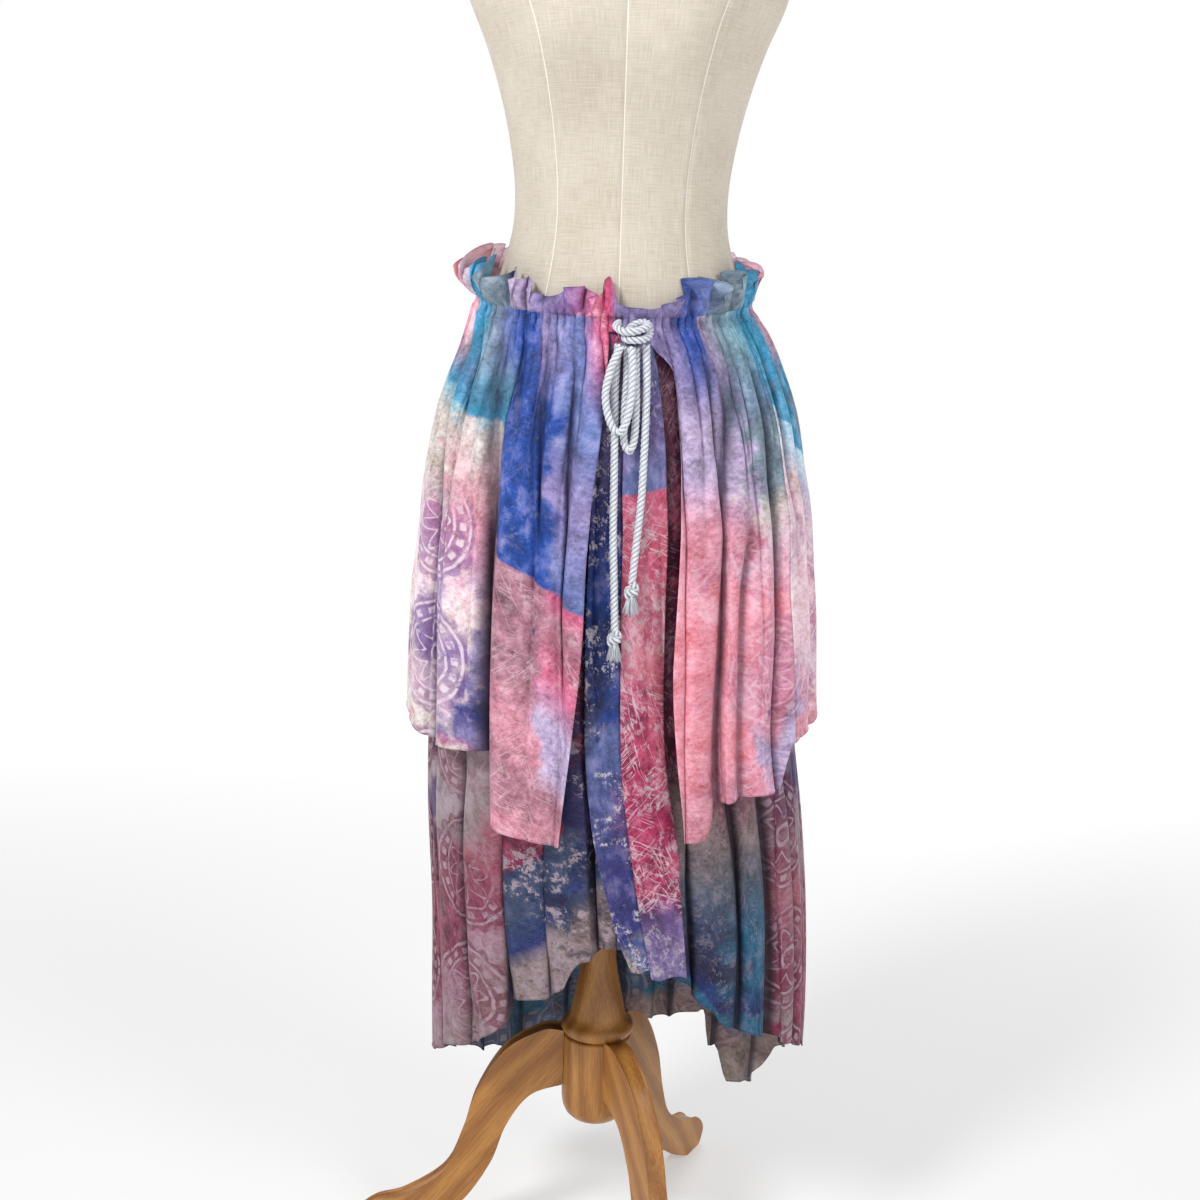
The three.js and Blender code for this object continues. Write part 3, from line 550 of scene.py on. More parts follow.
def over_shape(deg, drop):
    """The same for the over layer."""
    most = row("over", drop)
    room = OVER_ROOM * (1 - soft(np.abs(deg - FRONT_MIDDLE), *BAND_REACH)) * soft(drop, 0, 100)
    level = row("under", drop) + OVER_STEP + room
    creases, lean = crease_depth(OVER_CREASES, deg, drop, most)
    folds, turn = small_folds(deg, drop, OVER_FOLDS)
    deepest = most + 5.1 + 0.5 * room
    folded = np.tanh((creases + folds) / deepest)
    return level + 1.2 + most - deepest * folded, turn + lean, folded * soft(deepest, 0, 16)


def hang(name, degrees, drops, out, top, hem, free=(False, False), start=0.0, turn=0, folded=0):
    """Builds one hanging panel from its angles, drops and the distance that it stands out.
    free tells whether its first and its last edge hang free. turn shifts its points round the skirt,
    but not their places in the print."""
    level = out + hem_roll(hem[:, None] - drops)
    if free[0]:
        level = level + 0.5 * hem_roll((degrees - degrees[:1]) * MM_A_DEGREE)
    if free[1]:
        level = level + 0.5 * hem_roll((degrees[-1:] - degrees) * MM_A_DEGREE)
    inner = skirt_point(degrees + turn, drops, level)
    outer = skirt_point(degrees + turn, drops, level + CLOTH)
    maps = sheet_maps(degrees, drops, top, hem[:, None], start, folded)
    return grid_mesh(name, inner, outer, maps)


# %% [markdown]
# The maker cuts each layer in six panels: front, side and back, left and right. A layer could be one
# sheet round the body, but the print changes at the seams. So each panel is a sheet of its own, from
# one seam to the next. Beside the two front bands the over layer ends in free edges.

# %% Cut the panels
COLUMN_STEP = {"under": 0.75, "over": 0.45}
PANEL_TOP = CASING_DOWN + 0.3
SEAM = 0.05


def under_panel(name, first, last):
    deg = np.linspace(first + SEAM, last - SEAM, int((last - first) / COLUMN_STEP["under"]))
    hem = hem_drop(UNDER_HEM, deg, 5)
    drops = row_shares(PANEL_TOP, hem, 8)
    degrees = np.broadcast_to(deg[:, None], drops.shape)
    out, turn, folded = under_shape(degrees, drops)
    return hang(name, degrees, drops, out, PANEL_TOP, hem, turn=turn, folded=folded)


def over_panel(name, first, last):
    """first or last may be the word left or right, for the free edge there."""
    drop, left, right = zip(*OVER_EDGES)
    low, high = OVER_FREE.get(first, first), OVER_FREE.get(last, last)
    share = np.linspace(0, 1, int((high - low) / COLUMN_STEP["over"]))[:, None]

    def angles(drops):
        begin = smooth_table(drop, right, drops) if first == "right" else first + SEAM
        end = smooth_table(drop, left, drops) if last == "left" else last - SEAM
        return begin + (end - begin) * share

    reach = angles(np.array([[HEM_REACH]]))[:, 0]
    hem = hem_drop(OVER_HEM, reach, 6)
    drops = row_shares(PANEL_TOP, hem, 7)
    degrees = angles(drops)
    free = (first == "right", last == "left")
    out, turn, folded = over_shape(degrees, drops)
    return hang(name, degrees, drops, out, PANEL_TOP, hem, free, 0.0, turn, folded)


cloth = {}
UNDER_CUTS = {
    "under_back_left": (-180, -95), "under_side_left": (-95, -37.5), "under_front_left": (-37.5, 0),
    "under_front_right": (0, 52.5), "under_side_right": (52.5, 95), "under_back_right": (95, 180),
}
OVER_CUTS = {
    "over_back_left": (-180, -97.5), "over_side_left": (-97.5, -37.5),
    "over_front_left": (-37.5, "left"), "over_front_right": ("right", 62.5),
    "over_side_right": (62.5, 97.5), "over_back_right": (97.5, 180),
}
for name, cut in UNDER_CUTS.items():
    cloth[name] = under_panel(name + "_cloth", *cut)
for name, cut in OVER_CUTS.items():
    cloth[name] = over_panel(name + "_cloth", *cut)
print("panels:", ", ".join(f"{name} {len(piece.data.polygons)}" for name, piece in cloth.items()))

# %% [markdown]
# ## The two front bands
# The bands are long, narrow and free at both sides. They could be modelled as flat strips, but they
# fold lengthwise, a little like a ribbon. So each has an arch over its width, or over its free side,
# and ripples that run straight down and turn slowly.

# %% Hang the bands
def band_panel(which):
    drop, left, right = zip(*BAND_EDGES[which])
    share = np.linspace(0, 1, BAND_COLUMNS)[:, None]
    hem = np.full(BAND_COLUMNS, float(drop[-1])) + 2 * np.sin(share[:, 0] * 7)
    drops = row_shares(PANEL_TOP, hem, 5)
    begin, end = smooth_table(drop, left, drops), smooth_table(drop, right, drops)
    degrees = begin + (end - begin) * share
    arch = 4 * share * (1 - share) if which == "blue" else 1 - share * share
    ease = (1 - share) ** 0.5 if which == "blue" else share**0.5
    ripple = np.abs(np.sin(share * 8.2 + 2.1 * np.sin(drops / 190 + BAND_TURN[which]))) ** 0.8
    out = row("under", drops) + BAND_STEP[which] + BAND_ARCH * arch * soft(drops, 0, 150)
    out = out + BAND_RIPPLE * ripple * ease * soft(drops, 10, 90)
    return hang(f"band_{which}_cloth", degrees, drops, out, PANEL_TOP, hem, (True, True), 0.9)


for which in BAND_EDGES:
    cloth[f"band_{which}"] = band_panel(which)
    print("band", which, len(cloth[f"band_{which}"].data.polygons), "faces")

# %% [markdown]
# ## The casing and its frill
# The cloth above the drawstring stands up as a frill. Where the cord grips it, it is pinched into
# tight puckers; above them it opens into loose waves whose edges curl. The puckers could be painted,
# but they catch the light, so they are cut into the sheet with the same folds as the panels below.
# The front ends are open: the left one stands up like a petal and the right one lies low.

# %% Build the casing and the frill
FRILL = {
    "deg": [-180, -110, -80, -50, -38, -28, -16, -7, -1, 2, 10, 20, 30, 60, 90, 110, 180],
    "tall": [42, 46, 48, 46, 40, 26, 46, 32, 50, 26, 19, 22, 40, 48, 50, 46, 42],
    "swing": [7, 7, 8, 8, 7, 5, 4.5, 3.5, 3, 3, 3, 4, 7, 8, 7, 7, 7],
    "mid": [10, 16, 18, 14, 11, 8, 6, 5, 4, 5, 8, 9, 7, 7, 4, 6, 10],
    "top": [8, 13, 14, 11, 8, 4, 2, 2, 1, 5, 12, 12, 9, 8, 7, 8, 8],
}
FRILL_WAVES = 31
FRILL_STAND = 5.2  # how far the frill stands out from the form where its puckers end
FRILL_STEP, CASING_STEP = 0.3, 0.35  # degrees from one column of points to the next
CASING_LAP = 1.2  # how far the casing covers the panels below it and the frill above it
CASING_SKIN = 0.12  # how far it lies over them
GRIP = {"middle": -1.5, "reach": 8.2, "deep": 3.0}  # the groove that the cord draws into the casing


def columns_between(first, last, step):
    return np.linspace(first + SEAM, last - SEAM, int((last - first) / step))[:, None]


def casing_shape(deg, drop):
    """The outer face of the cloth at the casing, where the layers' gathers run on into the frill, and the
    shade painted there, in the puckers and along the cord's groove.
    """
    out, turn, folded = over_shape(deg, PANEL_TOP + 0 * drop)
    grip = np.maximum(1 - ((drop - GRIP["middle"]) / GRIP["reach"]) ** 2, 0)
    shade = 1.5 * folded + 0.5 * grip**3 * (0.25 + folded)
    return out + CLOTH + CASING_SKIN - GRIP["deep"] * grip, turn, shade


def waist_maps(deg, drop, left, folded):
    """The maps of a sheet at the waist, whose colours change with the angle. folded is how much shade
    is painted on it.
    """
    return {"print": (deg / 360 * CLOTH_WIDTH, -drop * MM), "place": (0.5, 0), "edge": (left, folded)}


def pucker_half(name, first, last):
    deg = columns_between(first, last, CASING_STEP)
    drops = np.linspace(CASING_DOWN + CASING_LAP, -CASING_UP - CASING_LAP, 11)[None, :] + 0 * deg
    level, turn, folded = casing_shape(deg, drops)
    outer = skirt_point(deg + turn, drops, np.maximum(level, 1.0))
    inner = skirt_point(deg + turn, drops, 0.4 + 0 * drops)
    return grid_mesh(name, inner, outer, waist_maps(deg, drops, 99, folded))


def frill_half(name, first, last):
    deg = columns_between(first, last, FRILL_STEP)
    tall, swing, mid, top = (
        smooth_table(FRILL["deg"], FRILL[part], deg) for part in ("tall", "swing", "mid", "top")
    )
    share = np.concatenate([np.linspace(0, 0.93, 15), [0.955, 0.975, 0.99, 1]])[None, :]
    tall = tall * (1 + 0.26 * round_noise(deg, 44, 71) * soft(np.abs(deg), 24, 40))
    phase = np.radians(FRILL_WAVES * deg) + 1.9 * round_noise(deg, 24, 72)
    phase = phase + 0.8 * round_noise(deg, 30, 73) * share
    size = swing * (1.75 + 0.8 * round_noise(deg, 26, 74))
    wave = size * (np.sin(phase) + 0.35 * np.sin(2 * phase + 1.2)) * share**0.5
    dip = 1 - 0.014 * size * (np.sin(phase - 0.5) + 0.5) * share
    rise = CASING_UP + 0.2 + (tall - CASING_UP) * share * dip
    base, base_turn, folded = casing_shape(deg, -rise)
    free = soft(share, 0, 0.4)
    stand = (base - CASING_SKIN - CLOTH) * (1 - free) + FRILL_STAND * free
    lean = mid * np.sin(np.pi * share * 0.62) * 1.05 * (1 - share) + top * share**1.4
    out = stand + lean * 1.2 + wave + hem_roll((1 - share) * tall) * 0.8
    out = np.where(out < 2, 2 - 6 * np.tanh((2 - out) / 6), out)
    curl = size * (0.6 * np.sin(2 * phase + 0.7) + 0.3 * np.cos(phase)) * share
    ends = soft(np.abs(deg), 1, 8) * soft(180 - np.abs(deg), 0.5, 6)
    leaned = deg + base_turn * (1 - free) + curl * 0.4 * ends
    inner, outer = skirt_point(leaned, -rise, out), skirt_point(leaned, -rise, out + CLOTH)
    # Painted shade: in the puckers near the casing, and where each wave of the frill turns inward.
    shade = folded * (1 - soft(share, 0, 0.45)) + 0.5 * soft(-np.sin(phase), 0.1, 1) * share**0.5
    return grid_mesh(name, inner, outer, waist_maps(deg, -rise, (1 - share) * tall, shade))


for kind, build in (("casing", pucker_half), ("frill", frill_half)):
    for side, first, last in (("left", -180, 0), ("right", 0, 180)):
        cloth[f"{kind}_{side}"] = build(f"{kind}_{side}_cloth", first, last)
        print(kind, side, len(cloth[f"{kind}_{side}"].data.polygons), "faces")

# %% [markdown]
# ## The dress form
# A dress form is padded, covered with linen panels, and sewn along the centre, the sides and the two
# princess lines of front and back. The seams could be painted lines. Here the columns of the mesh
# follow them, so that each seam is a real groove between two softly padded panels.

# %% Build the torso
FORM = {
    "height": [950, 1000, 1060, 1120, 1152, 1180, 1204, 1235, 1265, 1295, 1348, 1402, 1455, 1507, 1560,
               1610, 1648, 1676, 1696, 1720, 1760],
    "half": [160, 170, 171, 158, 149, 144.4, 136.5, 127, 121, 120, 126, 138, 155, 176, 186, 183, 158,
             112, 74, 58, 55],
    "front": [100, 106, 110, 110, 111.5, 107.8, 102, 95, 89, 88, 93, 102, 110, 108, 97, 82, 72, 64, 57,
              52, 50],
    "back": [116, 127, 131, 124, 117, 110.5, 105, 94, 88, 85, 88, 96, 104, 109, 110, 104, 90, 74, 61,
             54, 52],
}
FORM_SHIFT = -3
BUST = {"across": 82, "height": 1468, "wide": 62, "tall": 66, "deep": 24}
SEAM_DEEP, SEAM_WIDE = 1.1, 2.2  # the groove of a seam
PAD_TALL, PAD_AWAY, PAD_WIDE = 0.9, 6, 5  # the soft rise of the padding beside it
# angles of the front and the back princess seams at some heights
SEAM_HEIGHTS = [950, 1180, 1290, 1400, 1470, 1560, 1690, 1760]
PRINCESS_FRONT = [34, 34, 36, 37, 38, 42, 44, 44]
PRINCESS_BACK = [146, 148, 152, 150, 146, 142, 140, 140]


def form_point(deg, height, out=0.0):
    half, front, back = (
        smooth_table(FORM["height"], FORM[part], height) for part in ("half", "front", "back")
    )
    sine, cosine = np.sin(np.radians(deg)), np.cos(np.radians(deg))
    x = (half + out) * sine
    y = -(np.where(cosine > 0, front, back) + out) * cosine
    aside = (np.abs(x) - BUST["across"]) / BUST["wide"]
    above = (height - BUST["height"]) / BUST["tall"]
    y = y - np.where(cosine > 0, BUST["deep"] * np.exp(-aside**2 - above**2) * cosine, 0)
    return np.stack([(x + FORM_SHIFT) * MM + AXIS.x, y * MM + AXIS.y, height * MM + 0 * x], -1)


def wrap_faces(number):
    """Faces that go right round, between rings of points. number holds the points of each ring."""
    after = np.roll(number, -1, axis=1)
    return np.stack([number[:-1], after[:-1], after[1:], number[1:]], -1).reshape(-1, 4).tolist()


def torso():
    heights = np.concatenate([np.arange(950.2, 1759, 5.5), [1760]])
    front = smooth_table(SEAM_HEIGHTS, PRINCESS_FRONT, heights)
    back = smooth_table(SEAM_HEIGHTS, PRINCESS_BACK, heights)
    level = np.ones_like(heights)
    seams = [-180 * level, -back, -90 * level, -front, 0 * level, front, 90 * level, back, 180 * level]
    shares = np.concatenate([[0, 0.02, 0.05, 0.1], np.linspace(0.18, 0.82, 9), [0.9, 0.95, 0.98]])
    columns, press = [], []
    for left, right in zip(seams, seams[1:]):
        for share in shares:
            columns.append(left + (right - left) * share)
            near = np.minimum(share, 1 - share) * (right - left) * 2.6
            groove = SEAM_DEEP * np.exp(-((near / SEAM_WIDE) ** 2))
            press.append(PAD_TALL * np.exp(-(((near - PAD_AWAY) / PAD_WIDE) ** 2)) - groove)
    deg, out = np.array(columns), np.array(press)
    points = form_point(deg, heights[None, :] + 0 * deg, out - 0.9)
    number = np.arange(deg.size).reshape(deg.shape)
    faces = wrap_faces(number.T) + [number[::-1, 0].tolist(), number[:, -1].tolist()]
    seam = (np.abs(out + SEAM_DEEP) < 0.5) * 1.0
    seam[:, [0, -1]] = 0
    maps = {
        "weave": pairs_of(np.radians(deg) * 0.13, heights[None, :] * MM, deg.shape),
        "seam": pairs_of(seam, 0, deg.shape),
    }
    return add_piece("dress_form_linen", points.reshape(-1, 3), faces, maps)


form = torso()
print("torso:", len(form.data.polygons), "faces")

# %% [markdown]
# ## The wooden stand
# The pole, its collar and the block below are turned on a lathe, so each is a profile spun round an
# axis. The screw modifier could spin it too; the rings are made here because the profile's places are
# known one by one.

# %% Turn the column and the block
COLUMN = [
    (0, 290), (36, 290), (39, 290.6), (42.5, 293), (44.6, 297), (45, 301), (43.6, 304.6), (40.5, 307.5),
    (36.5, 311), (34, 317), (32.4, 325), (30.4, 335), (27, 352), (23.6, 369), (21.3, 385), (19.9, 405),
    (19.2, 430), (19, 470), (19, 700), (19, 949.5), (0, 949.5),
]
BLOCK = [
    (0, 176), (12, 176.3), (22, 178), (31, 181.6), (36.8, 187.5), (40.2, 195), (41.7, 205), (42, 214),
    (42, 286), (41.2, 289), (38, 289.6), (0, 289.6),
]


def turned(name, profile, sides=72):
    places = np.array(profile, float)
    turn = np.linspace(0, 2 * np.pi, sides, endpoint=False)
    across, rise = places[1:-1, None, 0], places[1:-1, None, 1]
    rings = np.stack([across * np.cos(turn), across * np.sin(turn), rise + 0 * turn], -1)
    tips = [(0, 0, places[0, 1]), (0, 0, places[-1, 1])]
    points = np.concatenate([rings.reshape(-1, 3), tips]) * MM + np.array(AXIS)
    number = np.arange(rings[..., 0].size).reshape(-1, sides)
    after = np.roll(number, -1, axis=1)
    faces = wrap_faces(number)
    faces += [[number.size, b, a] for a, b in zip(number[0], after[0])]
    faces += [[number.size + 1, a, b] for a, b in zip(number[-1], after[-1])]
    return add_piece(name, points, faces, all_smooth=True)


wood = {
    "stand_column": turned("stand_column_wood", COLUMN),
    "stand_block": turned("stand_block_wood", BLOCK),
}
print("turned:", ", ".join(wood))

# %% [markdown]
# The legs are sawn from a plank along a curve and then rounded over with a router. A bevel modifier
# could round them, but a few inset outlines do the same and leave the seat against the block as it is.

# %% Saw the legs
LEG_UPPER = [
    (36, 288.5), (50, 292), (70, 289), (112, 262), (146, 204), (163, 146), (186, 96), (236, 60),
    (276, 46), (300, 22), (289, 0),
]
LEG_LOWER = [(261, 0), (238, 11), (200, 33), (163, 64), (131, 115), (112, 167), (82, 209), (36, 227)]
LEG_HALF, LEG_ROUND = 12, 3
LEG_ROUND_STEPS = np.radians([0, 22, 45, 68, 90])
LEG_TURNS = {"leg_left": 179, "leg_front": 298, "leg_back": 60.5}
SEAT_RADIUS = 42.3


def spline(points, each):
    """Points along the smooth curve through a list of points."""
    p = np.array(points, float)
    p = np.concatenate([[2 * p[0] - p[1]], p, [2 * p[-1] - p[-2]]])
    share = np.linspace(0, 1, each, endpoint=False)[:, None]
    run = []
    for a, b, c, d in zip(p, p[1:], p[2:], p[3:]):
        bend = (2 * a - 5 * b + 4 * c - d) * share**2 + (3 * b - a - 3 * c + d) * share**3
        run.append(0.5 * (2 * b + (c - a) * share + bend))
    return np.concatenate([*run, p[-2:-1]])


def leg_piece(name, deg):
    outline = np.concatenate([spline(LEG_UPPER, 9), spline(LEG_LOWER, 9)])
    along = np.roll(outline, -1, axis=0) - np.roll(outline, 1, axis=0)
    side = np.stack([along[:, 1], -along[:, 0]], -1) / np.hypot(along[:, 0], along[:, 1])[:, None]
    sides = LEG_HALF - LEG_ROUND * (1 - np.sin(LEG_ROUND_STEPS))
    corner = list(zip(sides, LEG_ROUND * (1 - np.cos(LEG_ROUND_STEPS))))
    steps = [(-y, inset) for y, inset in reversed(corner)] + corner
    rings = []
    for y, inset in steps:
        ring = outline - side * inset
        out = np.maximum(ring[:, 0], 0)
        seat = math.sqrt(SEAT_RADIUS**2 - y * y)
        rings.append(np.stack([np.maximum(out, seat), y + 0 * out, np.maximum(ring[:, 1], 0)], -1))
    rings = np.array(rings)
    number = np.arange(rings[..., 0].size).reshape(rings.shape[:2])
    following = np.roll(number, -1, axis=1)
    faces = np.stack([number[:-1], number[1:], following[1:], following[:-1]], -1).reshape(-1, 4).tolist()
    faces += [number[0].tolist(), number[-1][::-1].tolist()]
    piece = add_piece(name, rings.reshape(-1, 3) * MM, faces)
    piece.matrix_world = Matrix.Translation(AXIS) @ Matrix.Rotation(math.radians(deg), 4, "Z")
    return piece


for name, deg in LEG_TURNS.items():
    wood[name] = leg_piece(name + "_wood", deg)
print("wood:", ", ".join(wood))

# %% [markdown]
# ## The rope drawstring
# Three-strand rope is three yarns that wind round each other. A bevelled curve would give a smooth
# cord, with the twist only painted. So each stretch of rope is three tubes on a helix that follows the
# route, all in one mesh. The routes repeat the points of the solid model: two loops and two tails hang
# from the knot, and each tail ends in a stopper knot and a small tassel.

# %% Routes of the rope
ROPE_RADIUS = 4.5
TWIST = 16.5  # millimetres of rope for one full turn of its strands
STRAND_SHARE = 0.495  # a strand's radius as a part of the rope's
YARN_ROUND = 0.012  # metres from a strand's side at the core to its outer side, in its map
ROPES = {
    "rope_loop_front": [
        (1, -142, 1132.4), (-9, -145, 1108), (-14, -146, 1080), (-9, -147, 1054), (0, -148, 1041),
        (8, -148, 1050), (13, -147, 1076), (14, -145, 1104), (12, -142, 1131)],
    "rope_loop_back": [
        (8, -131, 1130.9), (8, -134, 1100), (7, -137, 1060), (7, -138, 1034), (13, -139, 1021),
        (18, -139, 1034), (19, -138, 1062), (18, -134, 1100), (17.5, -131, 1131)],
    "rope_tail_left": [
        (-2, -131, 1133.5), (-4, -134.5, 1090), (-3, -137, 1040), (-2, -139, 990), (-1, -140.5, 930),
        (2, -143, 870), (4, -146, 826)],
    "rope_tail_right": [
        (27.5, -135, 1133.9), (29.5, -135, 1090), (29.5, -137, 1030), (28, -139.5, 970),
        (24, -142.5, 918), (21, -146.5, 879)],
}
KNOT_WRAPS = [
    (-2, -127, 1156), (-5, -137, 1152), (2, -146.5, 1147), (14, -149, 1147), (25, -143, 1151),
    (29, -133, 1155), (22, -126.5, 1157), (11, -128, 1152), (5, -133, 1143), (6, -143, 1139),
    (15, -147, 1138), (26, -142, 1140), (31, -132, 1146), (30, -126, 1153)]


def even_points(route, spacing):
    """Points a fixed distance apart on the smooth curve through a route."""
    curve = spline(route, 40)
    steps = np.linalg.norm(np.diff(curve, axis=0), axis=1)
    length = np.concatenate([[0], np.cumsum(steps)])
    at = np.linspace(0, length[-1], max(3, int(round(length[-1] / spacing)) + 1))
    return np.stack([np.interp(at, length, curve[:, k]) for k in range(3)], -1), length[-1]


def frames(points):
    """A steady pair of side directions along a curve, without a twist of their own."""
    along = unit(np.gradient(points, axis=0))
    side = np.cross(along[0], (0, 1, 0.3))
    sides = []
    for direction in along:
        side = side - direction * side.dot(direction)
        side = side / np.linalg.norm(side)
        sides.append(side)
    sides = np.array(sides)
    return sides, np.cross(along, sides)


def tube_faces(rings, sides, first):
    number = np.arange(rings * sides).reshape(rings, sides) + first
    return wrap_faces(number) + [number[0][::-1].tolist(), number[-1].tolist()]


def unit(vectors):
    return vectors / np.linalg.norm(vectors, axis=1)[:, None]


def twisted_rope(name, route, radius=ROPE_RADIUS, spacing=1.6, twist=TWIST, sides=10):
    """The piece, its length and the points of its middle line, both in metres."""
    centre, length = even_points(route, spacing)
    side, up = frames(centre)
    strand = radius * STRAND_SHARE
    points, faces, maps = [], [], []
    travelled = np.linspace(0, length, len(centre))
    angle = np.linspace(0, 2 * np.pi, sides, endpoint=False)
    forward, aside = np.cos(angle)[:, None], np.sin(angle)[:, None]
    for k in range(3):
        turn = 2 * np.pi * (travelled / twist + k / 3)
        outward = side * np.cos(turn)[:, None] + up * np.sin(turn)[:, None]
        middle = centre + outward * (radius - strand)
        run = unit(np.gradient(middle, axis=0))
        beside = unit(np.cross(run, outward))
        normal = np.cross(beside, run)
        ring = middle[:, None] + strand * (normal[:, None] * forward + beside[:, None] * aside)
        faces += tube_faces(len(centre), sides, k * ring[..., 0].size)
        points.append(ring.reshape(-1, 3))
        outer = np.abs(angle / np.pi - 1) * YARN_ROUND
        maps.append(pairs_of(travelled[:, None] * MM, outer, (len(centre), sides)))
    places = np.concatenate(points) * MM + np.array(AXIS)
    piece = add_piece(name, places, faces, {"yarn": np.concatenate(maps)})
    return piece, length * MM, [tuple(p * MM + np.array(AXIS)) for p in centre]


ropes = {name: twisted_rope(name + "_twist", route) for name, route in ROPES.items()}
knot, _, _ = twisted_rope("rope_knot_twist", KNOT_WRAPS, radius=4.3)
print("rope lengths:", {name: round(made[1], 3) for name, made in ropes.items()})

# %% [markdown]
# ## Tassels
# The maker knotted each tail and let the rope below the knot open into its yarns. The stopper knot is a
# short thick coil of the same rope. A tuft could be a particle system, but then it would not be a mesh
# that can be exported, so it is a hundred and ten tapered threads that fan out a little.

# %% Tie the tassels
TASSEL_KNOT = 8.5
THREADS = 110
THREAD_RINGS = (0, 0.35, 0.7, 1)  # shares of a thread's length


def tassel(name, route, seed):
    end = np.array(route[-1], float)
    centre = end - np.array([0, 0, TASSEL_KNOT + 0.3])
    turn = np.linspace(0, 2 * np.pi * 1.6, 16)
    rise = 3.4 - 6.8 * turn / turn[-1] + 1.4 * np.sin(turn + 0.5)
    coil = centre + np.stack([4.3 * np.cos(turn), 4.0 * np.sin(turn), rise], -1)
    coil = np.concatenate([[end + (0, 0, 1.5)], coil, [centre + (0, 0, -7)]])
    wrap, _, _ = twisted_rope(name + "_knot", coil, radius=4.2, spacing=1.3)
    chance = np.random.default_rng(seed)
    points, faces = [], []
    for k in range(THREADS):
        spread, way = math.sqrt(chance.uniform(0, 1)), chance.uniform(0, 2 * math.pi)
        root = centre + (3.6 * spread * math.cos(way), 3.6 * spread * math.sin(way), -4.5)
        tall = chance.uniform(16, 22)
        splay = chance.uniform(0.6, 1.15) * (1.5 + 5.2 * spread)
        bend = chance.uniform(-1.2, 1.2, 2)
        thick = chance.uniform(0.38, 0.55)
        for share in THREAD_RINGS:
            fan = splay * share**0.8 * 0.8
            aside = bend * share**2
            place = (fan * math.cos(way) + aside[0], fan * math.sin(way) + aside[1], -tall * share)
            width = thick * (1 - 0.55 * share)
            for corner in range(4):
                a = math.pi / 2 * corner + way
                points.append(root + place + (width * math.cos(a), width * math.sin(a), 0))
        faces += tube_faces(len(THREAD_RINGS), 4, k * len(THREAD_RINGS) * 4)
    tuft = add_piece(name + "_tuft", np.array(points) * MM + np.array(AXIS), faces)
    return [wrap, tuft]


tassels = {
    "tassel_left": tassel("tassel_left", ROPES["rope_tail_left"], 3),
    "tassel_right": tassel("tassel_right", ROPES["rope_tail_right"], 4),
}
print("two tassels of", THREADS, "threads")

# %% [markdown]
# ## The printed cloth
# The print is a loose, painted one: broad fields of colour with torn edges, a second colour that soaks
# into the first, fine grain, pale scratches, and on some panels rows of rosettes. Each panel gets the
# colours that belong at its height, and the same few steps paint them all.

# %% Colours of the print
TINTS = {
    "royal": "133f90", "indigo": "34377c", "navy": "1f2558", "periwinkle": "6070a8", "lavender": "8074a3",
    "lilac": "ab99ba", "teal": "2987ad", "sea": "82b2c4", "sky": "a6cbe0", "slate": "48648c",
    "grey teal": "6d808e", "cream": "c6bcb6", "blush": "dfc0ca", "pink": "c98395", "salmon": "dd8b9b",
    "coral": "d5597a", "rose": "c2567b", "magenta": "b02a5e", "berry": "6c1e46", "purple": "684a86",
    "stone": "aaa098", "mauve": "9c6879", "white": "e2dad8",
}
